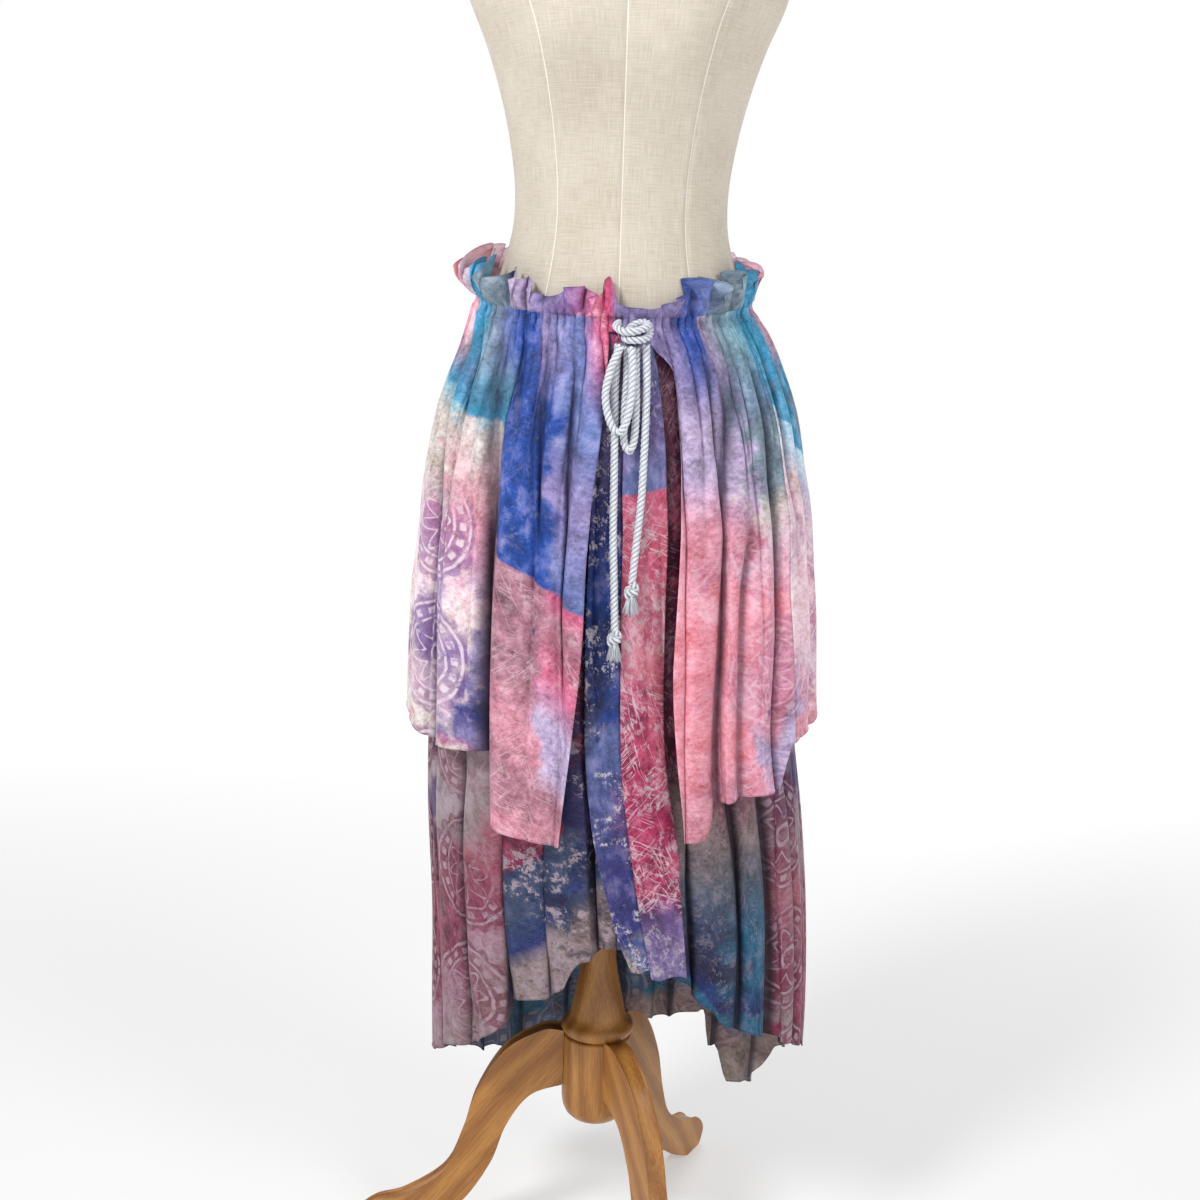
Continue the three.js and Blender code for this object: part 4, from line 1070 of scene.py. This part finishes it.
# main and second: colours by share of the panel's height. amount: how much of the second colour shows.
# scratches, flakes and rosettes: how much of each shows. slope: how far the fields slope across the
# panel. torn: how torn their edges are. lean: how much the second colour gathers to the right.
Print = namedtuple("Print", "main second amount scratches flakes rosettes slope torn lean")
PRINTS = {
    "over_front_left": Print(
        main=[(0, "lavender"), (0.05, "periwinkle"), (0.13, "royal"), (0.485, "royal"), (0.49, "mauve"),
              (0.7, "mauve"), (0.8, "pink"), (0.9, "mauve"), (1, "pink")],
        second=[(0, "periwinkle"), (0.16, "periwinkle"), (0.3, "lavender"), (0.485, "periwinkle"),
                (0.49, "rose"), (0.55, "mauve"), (0.66, "rose"), (0.74, "lilac"), (0.83, "lilac"),
                (0.88, "mauve"), (1, "pink")],
        amount=0.75, scratches=0.5, flakes=0.1, rosettes=0, slope=-0.1, torn=0.03, lean=2.0),
    "over_side_left": Print(
        main=[(0, "teal"), (0.12, "slate"), (0.19, "teal"), (0.2, "sea"), (0.25, "cream"),
              (0.42, "cream"), (0.6, "blush"), (0.8, "cream"), (0.9, "blush"), (1, "cream")],
        second=[(0, "grey teal"), (0.19, "teal"), (0.2, "cream"), (0.45, "pink"), (0.62, "lilac"),
                (0.8, "lavender"), (0.9, "indigo"), (0.96, "lavender"), (1, "rose")],
        amount=0.45, scratches=0.4, flakes=0, rosettes=0.75, slope=-0.12, torn=0.14, lean=0.9),
    "over_back_left": Print(
        main=[(0, "lavender"), (0.2, "periwinkle"), (0.4, "blush"), (0.7, "pink"), (1, "lilac")],
        second=[(0, "royal"), (0.3, "teal"), (0.5, "lilac"), (1, "rose")],
        amount=0.45, scratches=0.4, flakes=0, rosettes=0.35, slope=0.15, torn=0.16, lean=0),
    "over_front_right": Print(
        main=[(0, "periwinkle"), (0.1, "lavender"), (0.24, "lilac"), (0.33, "lilac"), (0.43, "pink"),
              (0.6, "salmon"), (0.9, "salmon"), (1, "pink")],
        second=[(0, "royal"), (0.15, "grey teal"), (0.3, "grey teal"), (0.36, "cream"), (0.44, "blush"),
                (0.55, "salmon"), (0.66, "pink"), (0.8, "pink"), (0.86, "lilac"), (1, "lilac")],
        amount=0.55, scratches=0.35, flakes=0, rosettes=0.3, slope=-0.12, torn=0.1, lean=1.4),
    "over_side_right": Print(
        main=[(0, "sea"), (0.06, "teal"), (0.3, "teal"), (0.305, "sky"), (0.5, "blush"),
              (0.85, "blush"), (1, "pink")],
        second=[(0, "slate"), (0.25, "grey teal"), (0.3, "teal"), (0.31, "cream"), (0.7, "pink"),
                (1, "lilac")],
        amount=0.45, scratches=0.5, flakes=0, rosettes=0.5, slope=-0.25, torn=0.05, lean=0.2),
    "over_back_right": Print(
        main=[(0, "teal"), (0.25, "sea"), (0.4, "lilac"), (0.7, "blush"), (1, "pink")],
        second=[(0, "periwinkle"), (0.4, "lavender"), (0.7, "rose"), (1, "lavender")],
        amount=0.45, scratches=0.4, flakes=0, rosettes=0.35, slope=0.1, torn=0.16, lean=0),
    "band_blue": Print(
        main=[(0, "purple"), (0.08, "lavender"), (0.25, "indigo"), (0.4, "royal"), (0.55, "navy"),
              (0.64, "periwinkle"), (0.8, "indigo"), (0.92, "indigo"), (0.96, "stone"), (1, "stone")],
        second=[(0, "magenta"), (0.2, "indigo"), (0.4, "navy"), (0.6, "royal"), (0.75, "purple"),
                (0.92, "royal"), (1, "periwinkle")],
        amount=0.5, scratches=0.7, flakes=0.9, rosettes=0, slope=0.05, torn=0.12, lean=0.6),
    "band_pink": Print(
        main=[(0, "purple"), (0.1, "lavender"), (0.232, "periwinkle"), (0.235, "coral"),
              (0.35, "coral"), (0.5, "rose"), (0.62, "magenta"), (0.86, "magenta"), (0.9, "purple"),
              (1, "lavender")],
        second=[(0, "periwinkle"), (0.2, "purple"), (0.232, "lavender"), (0.235, "coral"),
                (0.45, "salmon"), (0.6, "coral"), (0.8, "rose"), (0.9, "berry"), (1, "purple")],
        amount=0.5, scratches=1.3, flakes=0.5, rosettes=0, slope=0.01, torn=0.03, lean=0.2),
    "under_front_left": Print(
        main=[(0, "rose"), (0.6, "berry"), (0.745, "magenta"), (0.765, "magenta"), (0.77, "slate"),
              (0.84, "slate"), (0.9, "royal"), (0.93, "cream"), (1, "cream")],
        second=[(0, "royal"), (0.7, "indigo"), (0.8, "indigo"), (0.88, "navy"), (0.92, "slate"),
                (0.96, "stone"), (1, "stone")],
        amount=0.5, scratches=0.7, flakes=1.0, rosettes=0, slope=0.1, torn=0.05, lean=1.1),
    "under_front_right": Print(
        main=[(0, "berry"), (0.66, "berry"), (0.7, "stone"), (0.76, "stone"), (0.8, "grey teal"),
              (0.86, "slate"), (0.95, "navy"), (0.985, "royal"), (0.99, "teal"), (1, "teal")],
        second=[(0, "rose"), (0.66, "rose"), (0.73, "stone"), (0.8, "grey teal"), (0.86, "teal"),
                (0.93, "teal"), (0.985, "royal"), (0.99, "teal"), (1, "teal")],
        amount=0.5, scratches=0.8, flakes=0.3, rosettes=0, slope=0.1, torn=0.12, lean=1.0),
    "under_side_left": Print(
        main=[(0, "cream"), (0.5, "cream"), (0.66, "white"), (0.7, "cream"), (0.74, "salmon"),
              (0.85, "rose"), (0.93, "blush"), (1, "cream")],
        second=[(0, "rose"), (0.5, "berry"), (0.66, "lavender"), (0.72, "berry"), (0.84, "berry"),
                (0.92, "magenta"), (1, "pink")],
        amount=0.5, scratches=0.5, flakes=0.3, rosettes=1.0, slope=0.1, torn=0.12, lean=-0.7),
    "under_side_right": Print(
        main=[(0, "cream"), (0.5, "lilac"), (0.62, "white"), (0.7, "white"), (0.75, "blush"),
              (0.8, "salmon"), (0.92, "rose"), (1, "cream")],
        second=[(0, "purple"), (0.55, "lavender"), (0.68, "purple"), (0.75, "magenta"), (0.9, "rose"),
                (1, "magenta")],
        amount=0.5, scratches=0.5, flakes=0.3, rosettes=1.0, slope=-0.1, torn=0.12, lean=0),
    "under_back_left": Print(
        main=[(0, "cream"), (0.6, "blush"), (0.8, "sea"), (0.9, "teal"), (1, "teal")],
        second=[(0, "lavender"), (0.7, "rose"), (0.85, "grey teal"), (1, "teal")],
        amount=0.45, scratches=0.4, flakes=0, rosettes=0.4, slope=0.1, torn=0.2, lean=0),
    "under_back_right": Print(
        main=[(0, "blush"), (0.6, "lilac"), (0.8, "sea"), (0.88, "teal"), (0.93, "teal"),
              (0.95, "stone"), (1, "stone")],
        second=[(0, "rose"), (0.6, "lavender"), (0.85, "teal"), (1, "grey teal")],
        amount=0.4, scratches=0.4, flakes=0, rosettes=0.4, slope=-0.06, torn=0.2, lean=0),
}
# Round the waist the colours change with the angle instead, from the back round the left to the back
WAIST = [
    (-180, "lilac"), (-110, "blush"), (-88, "salmon"), (-74, "blush"), (-71, "teal"), (-60, "teal"),
    (-56, "grey teal"), (-47, "periwinkle"), (-40, "royal"), (-31, "royal"), (-28, "lavender"),
    (-12, "periwinkle"), (-5, "rose"), (-0.3, "magenta"), (0.3, "lavender"), (22, "lavender"),
    (27, "royal"), (35, "royal"), (38, "lilac"), (44, "grey teal"), (56, "sea"), (62, "teal"),
    (80, "teal"), (86, "pink"), (110, "blush"), (180, "lilac"),
]
# The frill shows other parts of the same print
FRILL_TINTS = [
    *WAIST[:5], (-63, "teal"), (-59, "grey teal"), (-48, "grey teal"), (-45, "lilac"), (-36, "lilac"),
    (-31, "lavender"), (-18, "purple"), (-6, "rose"), (-0.3, "magenta"), (0.3, "lavender"),
    (26, "lavender"), (31, "royal"), (40, "periwinkle"), (48, "grey teal"), (60, "grey teal"),
    (65, "teal"), *WAIST[-4:],
]


def stops(rows):
    return [(place, colour(TINTS[tint])) for place, tint in rows]


print(len(PRINTS), "prints from", len(TINTS), "colours")


# %% [markdown]
# The real cloth is printed from a picture. Here the print is worked out by noise and plain formulas, in
# the same order as a painter would lay it on: torn fields of two colours, a mottled tone, rosettes,
# pale scratches, flakes where wax kept the dye off, and dark flicks. Shade is then painted over the
# print: in the folds, under the over layer and beside the left front panel. Silk-like cloth has a soft
# sheen at grazing angles and a fine crinkle. The narrow hem is rolled and stitched, so it reads as a
# thin line a little darker than the cloth.

# %% Paint the cloth
ROSETTES_A_METRE = 6.6
SCRATCH_ANGLES = (0.35, 1.2, -0.8)
HEM_LINE = (1.4, 3.2)  # millimetres from the edge between which the darker hem ends


def printed_cloth(name, seed):
    design = PRINTS.get(name, PRINTS["over_front_left"])
    paint = Paint(name + "_print")
    across, down, _ = paint.map("place")
    left, folded, _ = paint.map("edge")
    round_skirt, _, printed = paint.map("print")
    flat = paint.stretch(printed, (1, 1, 1), (seed * 1.37, seed * 0.71, seed * 0.13))
    wide = paint.noise(flat, 5.5, 2, 0.5)
    ragged = paint.noise(flat, 42, 4, 0.65)
    height = down + (across - 0.5) * design.slope + (wide - 0.5) * design.torn * 1.6
    height = height + (ragged - 0.5) * 0.022
    soak = paint.noise(flat, 12, 3, 0.55) + (ragged - 0.5) * 0.4 + (across - 0.5) * design.lean * 0.5
    edge = 0.66 - 0.2 * design.amount
    main, second = paint.ramp(height, stops(design.main)), paint.ramp(height, stops(design.second))
    tint = paint.mix(soak.between(edge - 0.06, edge + 0.08), main, second)
    if name.startswith(("over", "casing", "frill")):
        angle = round_skirt / CLOTH_WIDTH + 0.5 + (wide - 0.5) * 0.03 + (ragged - 0.5) * 0.008
        rows = FRILL_TINTS if name.startswith("frill") else WAIST
        waist = paint.ramp(angle, stops([(turn / 360 + 0.5, tint_name) for turn, tint_name in rows]))
        tint = paint.mix(1 - (down + (wide - 0.5) * 0.2).between(0.03, 0.17), tint, waist)
    sponge = paint.noise(flat, 230, 4, 0.75)
    tint = mottled(paint, tint, flat, sponge)
    if design.rosettes:
        ink = colour("9c3c60" if name.startswith("under") else "7d4a8c")
        tint = rosette_rows(paint, tint, flat, soak * 0.5 + wide * 0.5, down, design.rosettes, ink)
    tint = scratched(paint, tint, flat, wide, design.scratches)
    if design.flakes:
        tint = flaked(paint, tint, flat, design.flakes)
    tint = dark_specks(paint, tint, flat)
    # Painted shade over the print: under the over layer, beside the left front panel and in the folds.
    tint = shaded(paint, tint, name, across, down, left, folded)
    crinkle = paint.noise(paint.stretch(flat, (1, 0.45, 1)), 260, 3, 0.65)
    weave = paint.noise(flat, 1500, 1, 0.5)
    pull = paint.noise(paint.stretch(flat, (1, 0.14, 1)), 80, 2, 0.5)
    values = {
        "Base Color": tint, "Roughness": 0.55 + (sponge - 0.5) * 0.2, "Sheen Weight": 0.12,
        "Sheen Roughness": 0.4, "Specular IOR Level": 0.3,
    }
    return paint.finish(values, crinkle * 0.8 + weave * 0.15 + pull * 0.7, 0.6, 0.0015)


def mottled(paint, tint, flat, sponge):
    """A cloudy and sponged tone, with a pale bloom in the lightest clouds."""
    cloudy = paint.drawn_noise(flat, (52, 34, 1), 4, 0.65)
    tone = (cloudy * 0.5 + sponge * 0.5 - 0.5) * 2.3 + 0.51
    tint = paint.mix(0.9, tint, tone, "OVERLAY")
    return paint.mix(cloudy - 0.52, tint, colour("e6d8e2"))


def rosette_rows(paint, tint, flat, soak, down, amount, ink):
    """Rows of plain rosettes: a disc of dye with a scalloped rim. On it are pale beads, two pale hoops,
    a leafy ring and a small ring."""
    cells = paint.stretch(flat, (ROSETTES_A_METRE, ROSETTES_A_METRE, 0))
    cell = paint.wire("ShaderNodeVectorMath", {"operation": "FRACTION"}, {0: cells})
    x, y, _ = paint.parts(paint.stretch(cell, (1, 1, 0), (-0.5, -0.5, 0)))
    far = (x * x + y * y) ** 0.5 + (paint.noise(flat, 60, 2, 0.6) - 0.5) * 0.03
    turn = y.math("ARCTAN2", x)
    leafy = far - (turn * 8).math("SINE") * 0.06
    disc = 1 - (far - 0.42 - abs((turn * 10).math("SINE")) * 0.045).between(0, 0.012)
    lace = (1 - abs(far - 0.34).between(0.016, 0.03)) * (turn * 18).math("SINE").between(-0.2, 0.3)
    rings = ((far, 0.4, 0.006, 0.016), (far, 0.285, 0.004, 0.013), (leafy, 0.19, 0.008, 0.018),
             (far, 0.07, 0.01, 0.022))
    for reach, radius, line, faded in rings:
        lace = lace.math("MAXIMUM", 1 - abs(reach - radius).between(line, faded))
    whole = paint.noise(flat, 95, 4, 0.7).between(0.36, 0.5)
    where = soak.between(0.4, 0.5) * down.between(0.34, 0.5) * amount
    tint = paint.mix(disc * where * (0.3 + whole * 0.4), tint, ink)
    return paint.mix(lace * where * whole * 0.85, tint, colour("eedfe4"))


def scratched(paint, tint, flat, wide, amount):
    """Long thin pale scratches at three angles on the reds: where a drawn-out noise passes its middle."""
    red, _, blue = paint.parts(tint)
    rosy = (red - blue).between(-0.05, 0.08) * 0.85 + 0.15
    for number, angle in enumerate(SCRATCH_ANGLES):
        spin = {"Vector": flat, "Angle": angle}
        spun = paint.wire("ShaderNodeVectorRotate", {"rotation_type": "Z_AXIS"}, spin)
        line = abs(paint.drawn_noise(spun, (16, 110, 1), 2, 0.6, (number, 0, 0)) - 0.5)
        here = paint.drawn_noise(flat, (20, 16, 1), 3, 0.7, (0, number * 3.1, 0)).between(0.44, 0.6)
        factor = (1 - line.between(0.003, 0.024)) * here * rosy * 0.6 * amount
        tint = paint.mix(factor, tint, colour("ecd2da"))
    deep = paint.drawn_noise(flat, (110, 80, 1), 4, 0.7, (0.4, 0, 0)).between(0.56, 0.66)
    return paint.dye_and_shade(deep * wide.between(0.35, 0.6) * rosy * 0.5 * amount, tint, "7a3f6e")


def flaked(paint, tint, flat, amount):
    """Jagged pale flakes, as where wax kept the dye off, with dark splashes beside them."""
    jagged = paint.drawn_noise(flat, (120, 85, 1), 6, 0.8)
    zone = paint.drawn_noise(flat, (17, 22, 1), 3, 0.6, (0, 0.7, 0))
    splash = (1 - jagged.between(0.4, 0.46)) * zone.between(0.46, 0.54)
    tint = paint.mix(splash * amount * 0.6, tint, colour("1a2660"))
    flakes = jagged.between(0.535, 0.56) * zone.between(0.45, 0.53)
    return paint.mix(flakes * amount, tint, colour("dcd6dc"))


def dark_specks(paint, tint, flat):
    """A few flicks of dark dye."""
    drops = {"Vector": paint.stretch(flat, (30, 22, 1)), "Scale": 1.0}
    dot = 1 - paint.wire("ShaderNodeTexVoronoi", {"feature": "F1"}, drops).between(0.07, 0.13)
    rare = paint.noise(flat, 9, 2, 0.5).between(0.56, 0.62)
    return paint.mix(dot * rare * 0.8, tint, colour("2b2f6c"))


def shaded(paint, tint, name, across, down, left, folded):
    """The stitched hem, and painted shade: under the upper layer, beside the left front panel and in the
    folds.
    """
    tint = paint.dye_and_shade((1 - left.between(*HEM_LINE)) * 0.25, tint, "6a5a74")
    # Painted shade: the under layer's front and side panels are darkened strongly under the over layer,
    # and its back panels and the two bands less.
    if name.startswith(("under", "band")):
        covered = name.startswith("under") and "back" not in name
        tint = paint.dye_and_shade(0.85 if covered else 0.42, tint, "978490")
    # Painted shade on the side panel where it runs in under the left front panel.
    if name == "over_side_left":
        shade_beside_front = across.between(0.87, 0.95) * down.between(0.3, 0.5)
        tint = paint.dye_and_shade(shade_beside_front * 0.85, tint, "3a2438")
    # Painted shade in the folds, by how deep each point lies in one.
    return paint.dye_and_shade(folded.between(0.2, 1.0) * 0.9, tint, "40365c")


for seed, name in enumerate(sorted(cloth)):
    shared = 3 if name.startswith(("over", "casing", "frill")) else seed + 4
    cloth[name].data.materials.append(printed_cloth(name, shared))
print(len(cloth), "printed pieces")

# %% [markdown]
# ## Linen, wood and satin rope
# Linen is a plain weave of uneven yarns. A flat colour would do from afar, but its slubs both ways show
# in the light, so the yarns are two sine waves with drawn-out noise over them.

# %% Linen
YARN_STEP = 0.0011  # metres from one yarn to the next


def linen():
    paint = Paint("linen")
    around, up, weave = paint.map("weave")
    seam, _, _ = paint.map("seam")
    slub_across = paint.drawn_noise(weave, (40, 900, 1), 3, 0.6)
    slub_up = paint.drawn_noise(weave, (900, 40, 1), 3, 0.6)
    yarn_across = (up * 2 * math.pi / YARN_STEP).math("SINE")
    yarn_up = (around * 2 * math.pi / YARN_STEP).math("SINE")
    tone = slub_across * 0.5 + slub_up * 0.5 + (paint.noise(weave, 14, 3, 0.5) - 0.5) * 0.25
    tint = paint.ramp(tone, [(0.3, colour("aea392")), (0.5, colour("c3baab")), (0.7, colour("d2cabe"))])
    tint = paint.mix(seam.between(0.5, 0.9) * 0.7, tint, colour("f3efe6"))
    bump = yarn_across * yarn_up * 0.25 + slub_across * 0.8 + slub_up * 0.8
    values = {"Base Color": tint, "Roughness": 0.85, "Sheen Weight": 0.1, "Specular IOR Level": 0.25}
    return paint.finish(values, bump, 0.35, 0.0006)


form.data.materials.append(linen())
print("the form is covered")

# %% [markdown]
# The stand is varnished hardwood. A picture of wood would run the same way on every piece; noise that is
# drawn out along each plank, with curved rings across it, gives every leg its own grain.

# %% Wood
def hardwood(name, grain):
    """grain turns the wood's own coordinates so that its fibres run along X."""
    paint = Paint(name)
    place = {"Vector": paint.wire("ShaderNodeTexCoord", output="Object"), "Rotation": grain}
    plank = paint.wire("ShaderNodeVectorRotate", {"rotation_type": "EULER_XYZ"}, place)
    drift = paint.drawn_noise(plank, (3, 9, 9), 2, 0.5)
    fibre = paint.drawn_noise(plank, (26, 520, 520), 4, 0.65)
    pore = paint.drawn_noise(plank, (60, 1500, 1500), 2, 0.5)
    _, y, z = paint.parts(plank)
    rings = ((y * 260 + z * 150 + drift * 16).math("SINE") + 1) * 0.5
    tone = rings * 0.2 + 0.07 + fibre * 0.65
    tint = paint.ramp(tone, [(0.2, colour("6f4118")), (0.45, colour("9c652b")), (0.75, colour("c08a43"))])
    tint = paint.mix(pore.between(0.6, 0.72) * 0.5, tint, colour("5c3513"))
    values = {
        "Base Color": tint, "Roughness": 0.38 + fibre * 0.18, "Coat Weight": 0.15, "Coat Roughness": 0.25,
    }
    return paint.finish(values, fibre * 0.6 + pore * 0.4, 0.12, 0.0006)


upright = hardwood("turned_wood", (0, math.pi / 2, 0))
sawn = hardwood("sawn_wood", (0, math.radians(-52), 0))
for name, piece in wood.items():
    piece.data.materials.append(sawn if name.startswith("leg") else upright)
print(len(wood), "wooden pieces are varnished")

# %% [markdown]
# The rope is spun from shiny yarns. Each could be a tube of its own, but they are finer than the
# picture shows, so they are lines that wind along each strand, with painted shade in the groove between
# strands.

# %% Satin rope
def satin_rope():
    paint = Paint("satin_rope")
    along, around, yarn = paint.map("yarn")
    thread = ((around * 1500 + along * 420).math("SINE") + 1) * 0.5
    soil = paint.noise(paint.stretch(yarn, (1, 4, 1)), 70, 3, 0.6)
    tint = paint.mix(soil * 0.35 + thread * 0.2, colour("dfe2e7"), colour("a7afb9"))
    # Painted shade in the grooves, where the strands' sides turn in towards the core.
    tint = paint.dye_and_shade((1 - around.between(0.0055, 0.0098)) * 0.75, tint, "666c78")
    values = {
        "Base Color": tint, "Roughness": 0.33 + thread * 0.12, "Sheen Weight": 0.2,
        "Specular IOR Level": 0.6,
    }
    return paint.finish(values, thread * 0.7 + soil * 0.2, 0.35, 0.0005)


def satin_thread():
    paint = Paint("satin_thread")
    streak = paint.drawn_noise(paint.wire("ShaderNodeTexCoord", output="Object"), (900, 900, 120), 2, 0.5)
    tint = paint.mix(streak, colour("dcdfe4"), colour("b3bac3"))
    values = {"Base Color": tint, "Roughness": 0.4 + streak * 0.1, "Sheen Weight": 0.2}
    return paint.finish(values, streak, 0.2, 0.0003)


rope_finish, thread_finish = satin_rope(), satin_thread()
for piece in [knot, *(made[0] for made in ropes.values()), *(pair[0] for pair in tassels.values())]:
    piece.data.materials.append(rope_finish)
for pair in tassels.values():
    pair[1].data.materials.append(thread_finish)
print("the rope and its tassels are finished")

# %% [markdown]
# ## What each piece stands for
# Every piece rides on the part's one body, and the solid that it stands for is hidden. The table
# lists how wide and long each cloth piece was cut. To compare, the built sheet's area divided by its
# cut length is printed as its width by area.

CUTS = {
    "under_back_left": (0.30, 1.0), "under_side_left": (0.2, 0.9), "under_front_left": (0.14, 0.79),
    "under_front_right": (0.18, 0.82), "under_side_right": (0.14, 0.89),
    "under_back_right": (0.31, 1.04), "over_back_left": (0.36, 0.455), "over_side_left": (0.24, 0.5),
    "over_front_left": (0.15, 0.57), "over_front_right": (0.2, 0.555),
    "over_side_right": (0.14, 0.475), "over_back_right": (0.36, 0.455),
    "band_blue": (0.035, 0.72), "band_pink": (0.04, 0.73), "casing_left": (0.75, 0.0135),
    "casing_right": (0.75, 0.0135), "frill_left": (0.75, 0.042), "frill_right": (0.75, 0.042),
}


def cloth_area(piece):
    """Half the surface of a thin closed shell: the area of the cloth itself."""
    return sum(face.area for face in piece.data.polygons) / 2


for name, piece in cloth.items():
    width, length = CUTS[name]
    print(name, "cut", width, "by", length, "width by area", round(cloth_area(piece) / length, 3))
for name, piece in cloth.items():
    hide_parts(name)
    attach(piece, "root")

# %% [markdown]
# The form, the wood and the rope are hard or tied, so they need no cut size. Each stretch of rope is
# a piece of its own, because each leaves the knot at a place of its own. A tail ends in its stopper knot.

for name, piece in {"dress_form": form, **wood}.items():
    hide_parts(name)
    "linen" if name == "dress_form" else "wood"
    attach(piece, "root")
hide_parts("rope_knot")
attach(knot, "root")
for name, (piece, length, path) in ropes.items():
    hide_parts(name)
    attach(piece, "root")
    side = name.split("_")[-1]
    on_it = tassels["tassel_" + side] if "tail" in name else []
for name, pair in tassels.items():
    for piece in pair:
        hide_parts(name)
        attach(piece, "root")
print("declared", len(cloth) + 1 + len(wood) + 1 + len(ropes) + 2 * len(tassels), "pieces")

# %% [markdown]
# ## Floor and light
# The skirt stands in a bright room on a pale floor. A sky picture could light it, but three lamps are
# easier to aim: one from the front left gives the form its bright side, a weaker one from the right
# keeps the folds open, and a third one stands behind. The room is darker overhead than at eye level.
# The floor glows a little, more with the distance, so that it meets the white of the room.

# %% Set the floor and the lights
FLOOR_RADIUS, FLOOR_SIDES = 9, 96
GLOW_STARTS, GLOW_FULL = 0.8, 4.5  # metres from the middle

turns = np.linspace(0, 2 * np.pi, FLOOR_SIDES, endpoint=False)
rim = [(FLOOR_RADIUS * math.cos(a), FLOOR_RADIUS * math.sin(a), -0.0005) for a in turns]
floor = add_piece("floor", rim, [list(range(FLOOR_SIDES))])
paint = Paint("pale_floor")
spot = paint.wire("ShaderNodeTexCoord", output="Object")
radius = paint.wire("ShaderNodeVectorMath", {"operation": "LENGTH"}, {0: spot}, "Value")
greys = [(0, (0.32, 0.32, 0.32, 1)), (1, (0.8, 0.8, 0.8, 1))]
glow = paint.ramp(radius.between(GLOW_STARTS, GLOW_FULL), greys)
floor_look = {"Base Color": (0.62, 0.62, 0.62, 1), "Roughness": 0.9, "Emission Color": glow}
floor.data.materials.append(paint.finish({**floor_look, "Emission Strength": 1.0}))

world = bpy.data.worlds.new("room")
bpy.context.scene.world = world
world.use_nodes = True
room = Nodes(world.node_tree)
upward = room.parts(room.wire("ShaderNodeTexCoord", output="Generated"))[2]
heights = {"Value": upward, "From Min": 0.22, "From Max": 0.5, "To Min": 1.0, "To Max": 0.28}
brightness = room.wire("ShaderNodeMapRange", {"interpolation_type": "SMOOTHSTEP"}, heights)
room.fill(world.node_tree.nodes["Background"], {"Color": (1, 1, 1, 1), "Strength": brightness})


def light(name, place, aim, size, power):
    data = bpy.data.lights.new(name, "AREA")
    data.shape, data.size, data.energy = "DISK", size, power
    lamp = bpy.data.objects.new(name, data)
    bpy.context.scene.collection.objects.link(lamp)
    lamp.location = place
    lamp.rotation_euler = (Vector(aim) - Vector(place)).to_track_quat("-Z", "Y").to_euler()
    lamp.visible_camera = False


light("key", (-1.7, -1.9, 3.0), (0, 0, 0.95), 0.8, 70)
light("fill", (2.3, -2.0, 2.6), (0, 0, 0.9), 1.2, 33)
light("back", (0.6, 2.6, 2.6), (0, 0, 1.0), 1.8, 40)
bpy.context.scene.view_settings.view_transform = "Standard"
print("the floor, the room and three lights are set")
